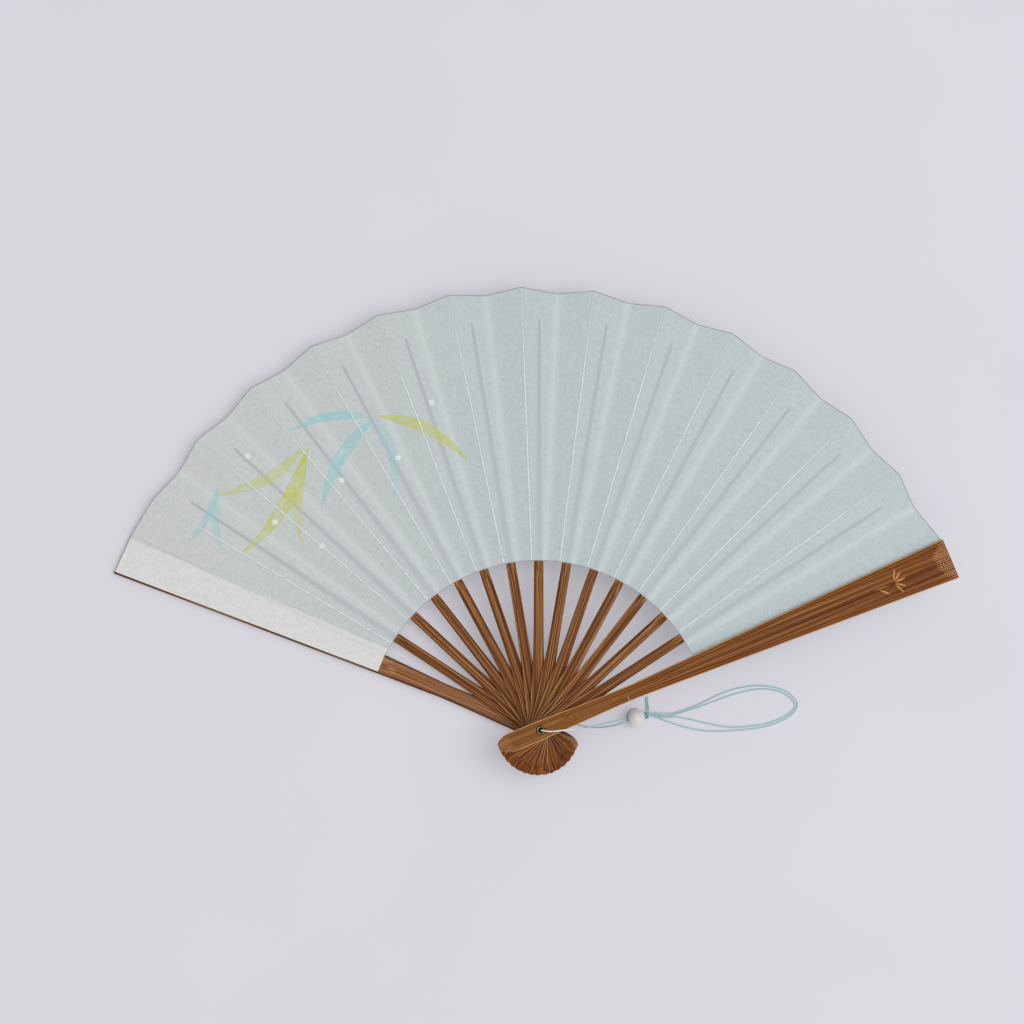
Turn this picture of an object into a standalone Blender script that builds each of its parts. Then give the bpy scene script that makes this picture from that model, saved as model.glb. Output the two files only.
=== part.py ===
"""A folding hand fan, lying open on its rear guard.

Thirteen bamboo ribs and two guards turn on one eyelet. Each rib ends in a thin blade that is seated
in a sleeve of the paper leaf, and a plain pleat joins each sleeve to the next. A cord runs through the
eyelet and a bead to a knot, and goes on from there as a doubled wrist loop.

+Z is up, along the eyelet's axis. The fan opens towards +Y, and its rear guard points to -X. Lengths are in
metres and angles in radians.
"""

import math

import bmesh
import bpy
from mathutils import Matrix, Vector

# Spread of the sticks, seen from above
RIB_COUNT = 13
RIB_PITCH = math.radians(9.5)
END_PITCH = math.radians(10.3)

# Sticks, with each reach measured from the eyelet's axis
TIP_REACH = 0.191
TAIL_REACH = 0.0189
BULGE_REACH = 0.012
BULGE_WIDTH = 0.0082
WAIST_REACH = 0.043
GUARD_WAIST_WIDTH = 0.0062
GUARD_TIP_WIDTH = 0.0179
RIB_WAIST_WIDTH = 0.0042
RIB_SHOULDER_WIDTH = 0.0037
TAIL_START = math.radians(20)
TAIL_STEPS = 4
WAIST_STEPS = 4
EDGE_BREAK_SHARE = 0.25

# Thicknesses on the eyelet
RIB_THICKNESS = 0.001
STICK_GAP = 0.0003
GUARD_THICKNESS = 0.0028
GUARD_HEAD_THICKNESS = 0.001
GUARD_MOUTH_THICKNESS = 0.00225
GUARD_TIP_THICKNESS = 0.00175
RELIEF_REACH = 0.010
RELIEF_RUN = 0.006
THINNING_RUN = 0.007

# Leaf, whose outer edge steps in from the guards' tips to the mountains and on to the valleys
LEAF_INNER_REACH = 0.0734
MOUNTAIN_INSET = 0.0008
SCALLOP_DEPTH = 0.0024
PAPER_THICKNESS = 0.0002
FOLD_GAP = 0.0003
GLUE_GAP = 0.0001
END_PANEL_INSET = 0.0008
PLEAT_TILT = math.radians(5)
PLEAT_RISE = math.radians(0.1)
END_PLEAT_DROP = 0.0005
END_PLEAT_TILT = math.radians(4)
END_PLEAT_RISE = math.radians(0.07)

# Blades, which end short of the leaf's outer edge, and the sleeves round them
BLADE_INSET = 0.0118
BLADE_MOUTH_WIDTH = 0.003
BLADE_TIP_WIDTH = 0.0012
BLADE_MOUTH_THICKNESS = 0.00026
BLADE_TIP_THICKNESS = 0.00016
SHOULDER_GAP = 0.0004
SLEEVE_CLEARANCE = 0.00008
SLEEVE_WALL = 0.00012
SLEEVE_FLANK = 0.0003
SLEEVE_RUNOUT = 0.0012

# Eyelet
BARREL_RADIUS = 0.0013
BORE_RADIUS = 0.0009
BARREL_CLEARANCE = 0.0003
FLANGE_RADIUS = 0.00195
FLANGE_THICKNESS = 0.0003
CLINCH_RADIUS = 0.0017
CLINCH_THICKNESS = 0.00025
WASHER_RADIUS = 0.0022
WASHER_THICKNESS = 0.0003
SEAT_GAP = 0.0002
FLANGE_STEPS = 3

# Cord, bead and knot
CORD_DIAMETER = 0.0006
CORD_STEP = 0.0016
BEAD_RADIUS = 0.0041
BEAD_BORE_RADIUS = 0.0012
BEAD_PLACE = (0.0423, 0.0054)
BEAD_TURN = math.radians(12)
BEAD_DIP = math.radians(20)
BEAD_ARC_STEPS = 10
STRAND_OFFSET = 0.00045
KNOT_RADIUS = 0.0016
KNOT_HALF_HEIGHT = 0.0013
KNOT_WRAP_RADIUS = 0.0012
KNOT_GAP = 0.0003

ROUND_STEPS = 24
KNOT_STEPS = 12
KNOT_RINGS = 8
WRAP_STEPS = 16
WRAP_SIDES = 6
SHARP_ANGLE = math.radians(40)
WELD_SHARE = 0.01
CUTTER_OVERRUN = 0.002

# The cord's route in metres from the eyelet's axis: from the bead over the top, down the bore and back
TOP_STRAND = (
    (0.0365, 0.0030, 0.0063),
    (0.0327, 0.0019, 0.0082),
    (0.0267, 0.0013, 0.0122),
    (0.0200, 0.0009, 0.0171),
    (0.0156, 0.0006, 0.0199),
    (0.0125, 0.0004, 0.0212),
    (0.0094, 0.0001, 0.0219),
    (0.0052, -0.0004, 0.0223),
    (0.0022, -0.0003, 0.0224),
    (0.0009, -0.0001, 0.0221),
    (0.0004, 0.0, 0.0215),
    (0.0002, 0.0, 0.0200),
    (0.0, 0.0, 0.0110),
    (0.0002, 0.0, 0.0020),
    (0.0004, 0.0001, 0.0010),
    (0.0009, 0.0002, 0.00045),
)
LOW_STRAND = (
    (0.0020, 0.0004, 0.00036),
    (0.0080, 0.0016, 0.00036),
    (0.0156, 0.0028, 0.00036),
    (0.0220, 0.0027, 0.00036),
    (0.0280, 0.0029, 0.0008),
    (0.0334, 0.0040, 0.0031),
    (0.0362, 0.0047, 0.0053),
)
# The wrist loop's two strands lie on the table, from the knot round and back to it
OUTER_LOOP = (
    (0.0532, 0.0074, 0.00135),
    (0.0570, 0.0073, 0.0005),
    (0.0605, 0.0078, 0.00036),
    (0.0673, 0.0100, 0.00036),
    (0.0733, 0.0126, 0.00036),
    (0.0807, 0.0161, 0.00036),
    (0.0874, 0.0182, 0.00036),
    (0.0952, 0.0194, 0.00036),
    (0.1025, 0.0190, 0.00036),
    (0.1092, 0.0169, 0.00036),
    (0.1130, 0.0133, 0.00036),
    (0.1137, 0.0108, 0.00036),
    (0.1124, 0.0082, 0.00036),
    (0.1090, 0.0055, 0.00036),
    (0.1022, 0.0026, 0.00036),
    (0.0955, 0.0011, 0.00036),
    (0.0872, 0.0003, 0.00036),
    (0.0805, -0.0002, 0.00036),
    (0.0738, -0.0001, 0.00036),
    (0.0672, 0.0009, 0.00036),
    (0.0620, 0.0022, 0.00036),
    (0.0568, 0.0039, 0.00036),
    (0.0532, 0.0052, 0.0007),
)
INNER_LOOP = (
    (0.0532, 0.0066, 0.0009),
    (0.0570, 0.0064, 0.00036),
    (0.0605, 0.0070, 0.00036),
    (0.0673, 0.0091, 0.00036),
    (0.0733, 0.0112, 0.00036),
    (0.0807, 0.0139, 0.00036),
    (0.0874, 0.0161, 0.00036),
    (0.0951, 0.0178, 0.00036),
    (0.1015, 0.0179, 0.00036),
    (0.1078, 0.0162, 0.00036),
    (0.1118, 0.0129, 0.00036),
    (0.1127, 0.0108, 0.00036),
    (0.1116, 0.0088, 0.00036),
    (0.1084, 0.0064, 0.00036),
    (0.1019, 0.0037, 0.00036),
    (0.0954, 0.0023, 0.00036),
    (0.0872, 0.0016, 0.00036),
    (0.0805, 0.0019, 0.00036),
    (0.0739, 0.0032, 0.00036),
    (0.0672, 0.0047, 0.00036),
    (0.0605, 0.0059, 0.00036),
    (0.0570, 0.0056, 0.00055),
    (0.0532, 0.0058, 0.0015),
)
LOOP_BUNDLE = 0.00042
KNOT_TAILS = (
    ((0.0477, 0.0094, 0.0011), (0.0474, 0.0118, 0.0004), (0.0471, 0.0147, 0.0004)),
    ((0.0487, 0.0094, 0.0011), (0.0486, 0.0120, 0.0004), (0.0484, 0.0151, 0.0004)),
)

# Worked out from the sizes above
SPREAD = 2 * END_PITCH + (RIB_COUNT - 1) * RIB_PITCH
FIRST_GUARD_TURN = math.pi / 2 + SPREAD / 2
PANEL_TURN = RIB_PITCH / 4
STACK_PITCH = RIB_THICKNESS + STICK_GAP
FIRST_RIB_HEIGHT = GUARD_THICKNESS + STICK_GAP + RIB_THICKNESS / 2
STACK_HEIGHT = 2 * GUARD_THICKNESS + RIB_COUNT * RIB_THICKNESS + (RIB_COUNT + 1) * STICK_GAP
MOUNTAIN_REACH = TIP_REACH - MOUNTAIN_INSET
VALLEY_REACH = MOUNTAIN_REACH - SCALLOP_DEPTH
BLADE_REACH = VALLEY_REACH - BLADE_INSET
EYELET_Y = (TAIL_REACH - MOUNTAIN_REACH) / 2
HOLE_RADIUS = BARREL_RADIUS + BARREL_CLEARANCE
SHOULDER_REACH = LEAF_INNER_REACH - SHOULDER_GAP
END_MOUNTAIN_TURN = END_PITCH - PANEL_TURN
GUARD_EDGE_TURN = math.atan2(GUARD_TIP_WIDTH / 2, TIP_REACH)
END_PLEAT_TURN = (END_MOUNTAIN_TURN + GUARD_EDGE_TURN) / 2

BAMBOO = ("bamboo", (0.30, 0.13, 0.05), 0.45, 0.0)
PAPER = ("leaf_paper", (0.60, 0.67, 0.66), 0.85, 0.0)
END_PAPER = ("end_paper", (0.76, 0.77, 0.76), 0.85, 0.0)
BRASS = ("eyelet_brass", (0.42, 0.40, 0.18), 0.35, 1.0)
CORD = ("cord_thread", (0.55, 0.80, 0.80), 0.80, 0.0)
BEAD = ("bead_white", (0.83, 0.84, 0.84), 0.30, 0.0)


def clear_scene():
    for obj in list(bpy.data.objects):
        bpy.data.objects.remove(obj, do_unlink=True)


def new_collection(name, hidden=False):
    collection = bpy.data.collections.new(name)
    collection.hide_render = hidden
    bpy.context.scene.collection.children.link(collection)
    return collection


def material(node_name, kind):
    """A node's own material of a kind: its name, colour, roughness and metallic value."""
    kind_name, colour, roughness, metallic = kind
    made = bpy.data.materials.new(f"{kind_name}_{node_name}")
    made.use_nodes = True
    shader = made.node_tree.nodes["Principled BSDF"]
    shader.inputs["Base Color"].default_value = (*colour, 1)
    shader.inputs["Roughness"].default_value = roughness
    shader.inputs["Metallic"].default_value = metallic
    return made


def place(name, data, kind, parent, location=(0, 0, 0), rotation=(0, 0, 0)):
    """An object of the fan, with its own material, at a place in its parent's frame."""
    obj = bpy.data.objects.new(name, data)
    obj.parent = parent
    obj.location = location
    obj.rotation_euler = rotation
    if not data.materials:
        data.materials.append(None)
    obj.material_slots[0].link = "OBJECT"
    obj.material_slots[0].material = material(name, kind)
    bpy.data.collections["folding_fan"].objects.link(obj)
    return obj


def place_cutter(name, mesh, parent, location=(0, 0, 0)):
    obj = bpy.data.objects.new(name, mesh)
    obj.parent = parent
    obj.location = location
    obj.hide_render = True
    obj.display_type = "WIRE"
    bpy.data.collections["folding_fan_cutters"].objects.link(obj)
    return obj


def cut(obj, cutter, operation="DIFFERENCE"):
    modifier = obj.modifiers.new(cutter.name, "BOOLEAN")
    modifier.operation = operation
    modifier.object = cutter


def mesh_from(shape, name):
    bmesh.ops.recalc_face_normals(shape, faces=shape.faces)
    mesh = bpy.data.meshes.new(name)
    shape.to_mesh(mesh)
    shape.free()
    return mesh


def loft(name, rings):
    """A closed mesh through rings of equally many points, with a flat cap at each end."""
    shape = bmesh.new()
    loops = [[shape.verts.new(point) for point in ring] for ring in rings]
    for near, far in zip(loops, loops[1:]):
        for i in range(len(near)):
            shape.faces.new((near[i - 1], near[i], far[i], far[i - 1]))
    shape.faces.new(loops[0])
    shape.faces.new(loops[-1])
    return mesh_from(shape, name)


def turned(name, profile, steps=ROUND_STEPS):
    """A mesh object's data turned round Z from a closed profile of (radius, height) points."""
    shape = bmesh.new()
    corners = [shape.verts.new((radius, 0, height)) for radius, height in profile]
    edges = [shape.edges.new((corners[i - 1], corners[i])) for i in range(len(corners))]
    bmesh.ops.spin(
        shape,
        geom=corners + edges,
        axis=(0, 0, 1),
        cent=(0, 0, 0),
        angle=2 * math.pi,
        steps=steps,
        use_merge=True,
    )
    mesh = mesh_from(shape, name)
    mesh.shade_smooth()
    mesh.set_sharp_from_angle(angle=SHARP_ANGLE)
    return mesh


def between(low, high, share):
    return low + (high - low) * share


def section(x, half_width, low, high, roll=0.0):
    """Eight points round a stick at x: a rectangle with broken edges, from low to high, turned by roll."""
    middle = (low + high) / 2
    half_height = (high - low) / 2
    edge = EDGE_BREAK_SHARE * half_height
    corners = (
        (half_width, -half_height + edge),
        (half_width, half_height - edge),
        (half_width - edge, half_height),
        (-half_width + edge, half_height),
        (-half_width, half_height - edge),
        (-half_width, -half_height + edge),
        (-half_width + edge, -half_height),
        (half_width - edge, -half_height),
    )
    turn = Matrix.Rotation(roll, 2)
    return [(x, *(turn @ Vector(corner) + Vector((0, middle)))) for corner in corners]


def tail_reaches():
    """Places along the rounded tail, from its end to the bulge, closer together at the end."""
    run = TAIL_REACH - BULGE_REACH
    for i in range(TAIL_STEPS):
        turn = between(TAIL_START, math.pi / 2, i / TAIL_STEPS)
        yield -BULGE_REACH - run * math.cos(turn) / math.cos(TAIL_START)


def half_width_at(x, waist_width, end_reach, end_width):
    """Half a stick's width: a rounded tail, an eased waist, then a straight taper to its end."""
    if x <= -BULGE_REACH:
        share = (-x - BULGE_REACH) * math.cos(TAIL_START) / (TAIL_REACH - BULGE_REACH)
        return BULGE_WIDTH / 2 * math.sqrt(1 - share * share)
    if x <= WAIST_REACH:
        share = (x + BULGE_REACH) / (WAIST_REACH + BULGE_REACH)
        return between(BULGE_WIDTH, waist_width, (1 - math.cos(math.pi * share)) / 2) / 2
    return between(waist_width, end_width, (x - WAIST_REACH) / (end_reach - WAIST_REACH)) / 2


def waist_reaches():
    return [between(-BULGE_REACH, WAIST_REACH, i / WAIST_STEPS) for i in range(WAIST_STEPS + 1)]


def guard_half_width(x):
    return half_width_at(x, GUARD_WAIST_WIDTH, TIP_REACH, GUARD_TIP_WIDTH)


def guard_outer_height(x):
    """The outer face's height: the relieved head lets the eyelet and the cord sit within the guard."""
    share = min(max((x - RELIEF_REACH) / RELIEF_RUN, 0), 1)
    return between(GUARD_THICKNESS - GUARD_HEAD_THICKNESS, 0, share)


def guard_inner_height(x):
    """The inner face's height: it steps down to seat the leaf's end and thins towards the tip."""
    seat = SHOULDER_REACH
    if x <= seat:
        share = max((x - seat + THINNING_RUN) / THINNING_RUN, 0)
        return between(GUARD_THICKNESS, GUARD_MOUTH_THICKNESS, share)
    return between(GUARD_MOUTH_THICKNESS, GUARD_TIP_THICKNESS, (x - seat) / (TIP_REACH - seat))


def guard_mesh():
    relief = (RELIEF_REACH, RELIEF_REACH + RELIEF_RUN)
    seat = (SHOULDER_REACH - THINNING_RUN, SHOULDER_REACH, TIP_REACH)
    rings = []
    for x in sorted([*tail_reaches(), *waist_reaches(), *relief, *seat]):
        rings.append(section(x, guard_half_width(x), guard_outer_height(x), guard_inner_height(x)))
    return loft("guard", rings)


def blade_share(x):
    return (x - SHOULDER_REACH) / (BLADE_REACH - SHOULDER_REACH)


def blade_section(x, clearance):
    """The blade's section at x, turned with its pleat and grown by a clearance."""
    half_width = between(BLADE_MOUTH_WIDTH, BLADE_TIP_WIDTH, blade_share(x)) / 2 + clearance
    half_height = between(BLADE_MOUTH_THICKNESS, BLADE_TIP_THICKNESS, blade_share(x)) / 2 + clearance
    return half_width, half_height


def rib_mesh():
    """A rib lies along X, its middle at height 0. Its blade is thinned and turned to lie in the leaf."""
    rings = []
    for x in [*tail_reaches(), *waist_reaches(), SHOULDER_REACH - THINNING_RUN]:
        half_width = half_width_at(x, RIB_WAIST_WIDTH, SHOULDER_REACH, RIB_SHOULDER_WIDTH)
        rings.append(section(x, half_width, -RIB_THICKNESS / 2, RIB_THICKNESS / 2))
    shoulder = SHOULDER_REACH - SHOULDER_GAP
    _, half_height = blade_section(SHOULDER_REACH, 0)
    rings.append(section(shoulder, RIB_SHOULDER_WIDTH / 2, -half_height, half_height, PLEAT_TILT))
    for x in (SHOULDER_REACH, BLADE_REACH):
        half_width, half_height = blade_section(x, 0)
        rings.append(section(x, half_width, -half_height, half_height, PLEAT_TILT))
    return loft("rib", rings)


def sleeve_section(left, right, middle, sleeve_width, sleeve_height):
    """Twelve points across a sleeve panel, from its left edge over the top to its right edge and back."""
    paper = PAPER_THICKNESS / 2
    foot = sleeve_width + SLEEVE_FLANK
    top = (
        (left[0], left[1], paper),
        (middle, foot, paper),
        (middle, sleeve_width, sleeve_height),
        (middle, -sleeve_width, sleeve_height),
        (middle, -foot, paper),
        (right[0], right[1], paper),
    )
    return [*top, *((x, y, -z) for x, y, z in reversed(top))]


def panel_edge(reach, turn):
    """A point on a panel's edge at a reach from the axis, half a fold gap inside the fold."""
    inset = math.copysign(FOLD_GAP / 2, turn)
    return reach * math.cos(turn), reach * math.sin(turn) - inset


def sleeve_mesh():
    """A leaf panel along X, thicker where its plies part round the blade. Its left edge is the mountain."""
    wall = SLEEVE_CLEARANCE + SLEEVE_WALL
    rings = []
    for share in (0, 1):
        x = between(LEAF_INNER_REACH * math.cos(PANEL_TURN), BLADE_REACH + wall, share)
        width, height = blade_section(x, wall)
        left = panel_edge(x / math.cos(PANEL_TURN), PANEL_TURN)
        right = panel_edge(x / math.cos(PANEL_TURN), -PANEL_TURN)
        rings.append(sleeve_section(left, right, x, width, height))
    x = BLADE_REACH + wall + SLEEVE_RUNOUT
    left = panel_edge(x / math.cos(PANEL_TURN), PANEL_TURN)
    right = panel_edge(x / math.cos(PANEL_TURN), -PANEL_TURN)
    rings.append(sleeve_section(left, right, x, width, PAPER_THICKNESS / 2))
    left = panel_edge(MOUNTAIN_REACH, PANEL_TURN)
    right = panel_edge(VALLEY_REACH, -PANEL_TURN)
    rings.append(sleeve_section(left, right, (left[0] + right[0]) / 2, width, PAPER_THICKNESS / 2))
    return loft("leaf_sleeve", rings)


def tunnel_mesh():
    rings = []
    for x in (LEAF_INNER_REACH - CUTTER_OVERRUN, BLADE_REACH + SLEEVE_CLEARANCE):
        half_width, half_height = blade_section(x, SLEEVE_CLEARANCE)
        rings.append(section(x, half_width, -half_height, half_height))
    return loft("tunnel", rings)


def plate(name, near_left, near_right, far_left, far_right, near_height=0.0, far_height=0.0):
    """A paper-thin plate between four corners in plan, its middle at a height for each of its two ends."""
    rings = []
    for left, right, low in (
        (near_left, near_right, near_height - PAPER_THICKNESS / 2),
        (far_left, far_right, far_height - PAPER_THICKNESS / 2),
    ):
        high = low + PAPER_THICKNESS
        rings.append([(*left, low), (*left, high), (*right, high), (*right, low)])
    return loft(name, rings)


def pleat_mesh():
    """A plain panel along X, from the valley on its left to the next rib's mountain on its right."""
    return plate(
        "leaf_pleat",
        panel_edge(LEAF_INNER_REACH, PANEL_TURN),
        panel_edge(LEAF_INNER_REACH, -PANEL_TURN),
        panel_edge(VALLEY_REACH, PANEL_TURN),
        panel_edge(MOUNTAIN_REACH, -PANEL_TURN),
    )


def guard_edge(x, inset):
    return x, -guard_half_width(x) + inset


def end_pleat_mesh():
    """The plain panel between a guard's edge and the nearest mountain, along X of its own frame."""
    turn = Matrix.Rotation(END_PLEAT_TURN, 2)
    guard_side = [turn @ Vector(guard_edge(x, -FOLD_GAP / 2)) for x in (LEAF_INNER_REACH, VALLEY_REACH)]
    own_turn = END_PLEAT_TURN - END_MOUNTAIN_TURN
    rib_side = [panel_edge(reach, own_turn) for reach in (LEAF_INNER_REACH, MOUNTAIN_REACH)]
    return plate("leaf_end_pleat", guard_side[0], rib_side[0], guard_side[1], rib_side[1])


def end_panel_mesh():
    """The leaf's end, glued to a guard's inner face."""
    lift = GLUE_GAP + PAPER_THICKNESS / 2
    corners = []
    for x in (LEAF_INNER_REACH, VALLEY_REACH):
        right = guard_edge(x, FOLD_GAP / 2)
        left = (x, guard_half_width(x) - END_PANEL_INSET)
        corners += [left, right]
    near, far = (guard_inner_height(x) + lift for x in (LEAF_INNER_REACH, VALLEY_REACH))
    return plate("leaf_end", *corners, near, far)


def rounded_edge(radius, low, high):
    """Points down the rounded rim of a flange, as a half circle of steps."""
    half = (high - low) / 2
    for i in range(FLANGE_STEPS + 1):
        turn = math.pi * i / FLANGE_STEPS
        yield radius - half + half * math.sin(turn), (low + high) / 2 + half * math.cos(turn)


def eyelet_heights():
    """The barrel's two ends: its flange rests on the front guard and its clinch lies under the washer."""
    head_low = GUARD_THICKNESS - GUARD_HEAD_THICKNESS
    flange_low = STACK_HEIGHT - head_low + SEAT_GAP
    washer_low = head_low - SEAT_GAP - WASHER_THICKNESS
    clinch_low = washer_low - SEAT_GAP - CLINCH_THICKNESS
    return flange_low, washer_low, clinch_low


def make_eyelet(axis):
    flange_low, washer_low, clinch_low = eyelet_heights()
    barrel = [
        (BORE_RADIUS, flange_low + FLANGE_THICKNESS),
        *rounded_edge(FLANGE_RADIUS, flange_low, flange_low + FLANGE_THICKNESS),
        (BARREL_RADIUS, flange_low),
        (BARREL_RADIUS, clinch_low + CLINCH_THICKNESS),
        (CLINCH_RADIUS, clinch_low + CLINCH_THICKNESS),
        (CLINCH_RADIUS, clinch_low),
        (BORE_RADIUS, clinch_low),
    ]
    place("eyelet", turned("eyelet", barrel), BRASS, axis)
    washer_high = washer_low + WASHER_THICKNESS
    inner = BARREL_RADIUS + SEAT_GAP
    washer = [
        (inner, washer_high),
        (WASHER_RADIUS, washer_high),
        (WASHER_RADIUS, washer_low),
        (inner, washer_low),
    ]
    place("eyelet_washer", turned("eyelet_washer", washer), BRASS, axis)


def make_hole_cutter(axis):
    shape = bmesh.new()
    bmesh.ops.create_cone(
        shape,
        cap_ends=True,
        segments=ROUND_STEPS,
        radius1=HOLE_RADIUS,
        radius2=HOLE_RADIUS,
        depth=STACK_HEIGHT + CUTTER_OVERRUN,
    )
    return place_cutter("stick_hole", mesh_from(shape, "stick_hole"), axis, (0, 0, STACK_HEIGHT / 2))


def make_guards(axis, hole):
    """Both guards are one shape. The front one is turned over about its length, to face the rear one."""
    mesh = guard_mesh()
    rear = place("guard_rear", mesh, BAMBOO, axis, rotation=(0, 0, FIRST_GUARD_TURN))
    front = place(
        "guard_front",
        mesh,
        BAMBOO,
        axis,
        location=(0, 0, STACK_HEIGHT),
        rotation=(math.pi, 0, FIRST_GUARD_TURN - SPREAD),
    )
    for guard in (rear, front):
        cut(guard, hole)
    return rear, front


def make_ribs(axis, hole):
    rib_data, sleeve_data, tunnel_data = rib_mesh(), sleeve_mesh(), tunnel_mesh()
    for i in range(RIB_COUNT):
        name = f"{i + 1:02d}"
        turn = FIRST_GUARD_TURN - END_PITCH - i * RIB_PITCH
        height = FIRST_RIB_HEIGHT + i * STACK_PITCH
        rib = place(f"rib_{name}", rib_data, BAMBOO, axis, (0, 0, height), (0, 0, turn))
        cut(rib, hole)
        sleeve = place(f"leaf_sleeve_{name}", sleeve_data, PAPER, rib, rotation=(PLEAT_TILT, 0, 0))
        cut(sleeve, place_cutter(f"tunnel_{name}", tunnel_data, sleeve))


def make_pleats(axis, guards):
    """The plain pleats between the ribs' panels, tilted against them, and one at each guard."""
    mesh = pleat_mesh()
    for i in range(RIB_COUNT - 1):
        turn = FIRST_GUARD_TURN - END_PITCH - (i + 0.5) * RIB_PITCH
        height = FIRST_RIB_HEIGHT + (i + 0.5) * STACK_PITCH
        rotation = (-PLEAT_TILT, -PLEAT_RISE, turn)
        place(f"leaf_pleat_{i + 1:02d}", mesh, PAPER, axis, (0, 0, height), rotation)
    end_mesh = end_pleat_mesh()
    panel_mesh = end_panel_mesh()
    location = (0, 0, FIRST_RIB_HEIGHT - END_PLEAT_DROP)
    rotation = (-END_PLEAT_TILT, -END_PLEAT_RISE, -END_PLEAT_TURN)
    names = (("leaf_pleat_00", "leaf_end_rear"), (f"leaf_pleat_{RIB_COUNT:02d}", "leaf_end_front"))
    for guard, (pleat_name, panel_name) in zip(guards, names):
        place(pleat_name, end_mesh, PAPER, guard, location, rotation)
        place(panel_name, panel_mesh, END_PAPER, guard)


def smooth_route(points):
    """Points read from a smooth curve through a route's own points, about a cord step apart or closer."""
    points = [Vector(point) for point in points]
    ends = [2 * points[0] - points[1], *points, 2 * points[-1] - points[-2]]
    route = []
    for before, start, end, after in zip(ends, ends[1:], ends[2:], ends[3:]):
        steps = max(2, round((end - start).length / CORD_STEP))
        for i in range(steps):
            t = i / steps
            route.append(
                (
                    2 * start
                    + (end - before) * t
                    + (2 * before - 5 * start + 4 * end - after) * t**2
                    + (3 * start - before - 3 * end + after) * t**3
                )
                / 2
            )
    return [*route, points[-1]]


def tube_data(name, route):
    curve = bpy.data.curves.new(name, "CURVE")
    curve.dimensions = "3D"
    curve.bevel_depth = CORD_DIAMETER / 2
    curve.bevel_resolution = 2
    curve.use_fill_caps = True
    spline = curve.splines.new("POLY")
    spline.points.add(len(route) - 1)
    for point, place_on_route in zip(spline.points, route):
        point.co = (*place_on_route, 1)
    return curve


def bead_frame():
    """The bead's centre, the way its bore runs towards the knot, and the level way across it."""
    centre = Vector((*BEAD_PLACE, BEAD_RADIUS))
    level = math.cos(BEAD_DIP)
    along = Vector((level * math.cos(BEAD_TURN), level * math.sin(BEAD_TURN), -math.sin(BEAD_DIP)))
    across = Vector((-math.sin(BEAD_TURN), math.cos(BEAD_TURN), 0))
    return centre, along, across


def make_bead(axis):
    centre, _, _ = bead_frame()
    start = math.asin(BEAD_BORE_RADIUS / BEAD_RADIUS)
    profile = []
    for i in range(BEAD_ARC_STEPS + 1):
        turn = between(start, math.pi - start, i / BEAD_ARC_STEPS)
        profile.append((BEAD_RADIUS * math.sin(turn), BEAD_RADIUS * math.cos(turn)))
    rotation = (0, math.pi / 2 + BEAD_DIP, BEAD_TURN)
    place("bead", turned("bead", profile), BEAD, axis, centre, rotation)


def knot_centre():
    centre, along, _ = bead_frame()
    return centre + along * (BEAD_RADIUS + KNOT_GAP + KNOT_RADIUS)


def make_cords(axis):
    """The cord through the eyelet and the bead, and the doubled wrist loop. They stop short of the knot."""
    centre, along, across = bead_frame()
    side = across * STRAND_OFFSET
    ends = [centre + along * BEAD_RADIUS, centre - along * BEAD_RADIUS]
    top = [point - side for point in ends]
    low = [point + side for point in reversed(ends)]
    through = smooth_route([*top, *TOP_STRAND, *LOW_STRAND, *low])
    place("cord_eyelet_loop", tube_data("cord_eyelet_loop", through), CORD, axis)

    knot = knot_centre()
    away = Vector((math.cos(BEAD_TURN), math.sin(BEAD_TURN), 0))
    face = knot + away * (KNOT_RADIUS + KNOT_GAP)
    rise = Vector((0, 0, LOOP_BUNDLE))
    shift = across * LOOP_BUNDLE
    outer = [face + shift + rise, *OUTER_LOOP, face - shift - rise]
    inner = [face + shift - rise, *INNER_LOOP, face - shift + rise]
    place("cord_loop_outer", tube_data("cord_loop_outer", smooth_route(outer)), CORD, axis)
    place("cord_loop_inner", tube_data("cord_loop_inner", smooth_route(inner)), CORD, axis)


def mesh_of_tube(curve):
    """A tube curve as a closed mesh, with its loose caps welded."""
    obj = bpy.data.objects.new(curve.name, curve)
    bpy.context.scene.collection.objects.link(obj)
    bpy.context.view_layer.update()
    graph = bpy.context.evaluated_depsgraph_get()
    mesh = bpy.data.meshes.new_from_object(obj.evaluated_get(graph))
    bpy.data.objects.remove(obj)
    shape = bmesh.new()
    shape.from_mesh(mesh)
    bmesh.ops.remove_doubles(shape, verts=shape.verts, dist=CORD_DIAMETER * WELD_SHARE)
    return mesh_from(shape, curve.name)


def make_knot(axis):
    """A tight round knot wrapped once by the cord, with the cord's two cut tails."""
    centre = knot_centre()
    shape = bmesh.new()
    bmesh.ops.create_uvsphere(shape, u_segments=KNOT_STEPS, v_segments=KNOT_RINGS, radius=KNOT_RADIUS)
    bmesh.ops.scale(shape, vec=(1, 1, KNOT_HALF_HEIGHT / KNOT_RADIUS), verts=shape.verts)
    knot = place("knot", mesh_from(shape, "knot"), CORD, axis, centre)

    wrap = []
    for i in range(WRAP_SIDES):
        turn = 2 * math.pi * i / WRAP_SIDES
        strand = CORD_DIAMETER / 2 * Vector((math.cos(turn), -math.sin(turn)))
        wrap.append((KNOT_WRAP_RADIUS + strand.x, strand.y))
    band = place_cutter("knot_wrap", turned("knot_wrap", wrap, WRAP_STEPS), knot)
    band.rotation_euler = (0, math.pi / 2, BEAD_TURN)
    cut(knot, band, "UNION")
    for i, tail in enumerate(KNOT_TAILS):
        start = centre + Vector((STRAND_OFFSET * (2 * i - 1), 0, 0))
        route = smooth_route([start, *tail])
        name = f"knot_tail_{i + 1}"
        cut(knot, place_cutter(name, mesh_of_tube(tube_data(name, route)), axis), "UNION")


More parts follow.
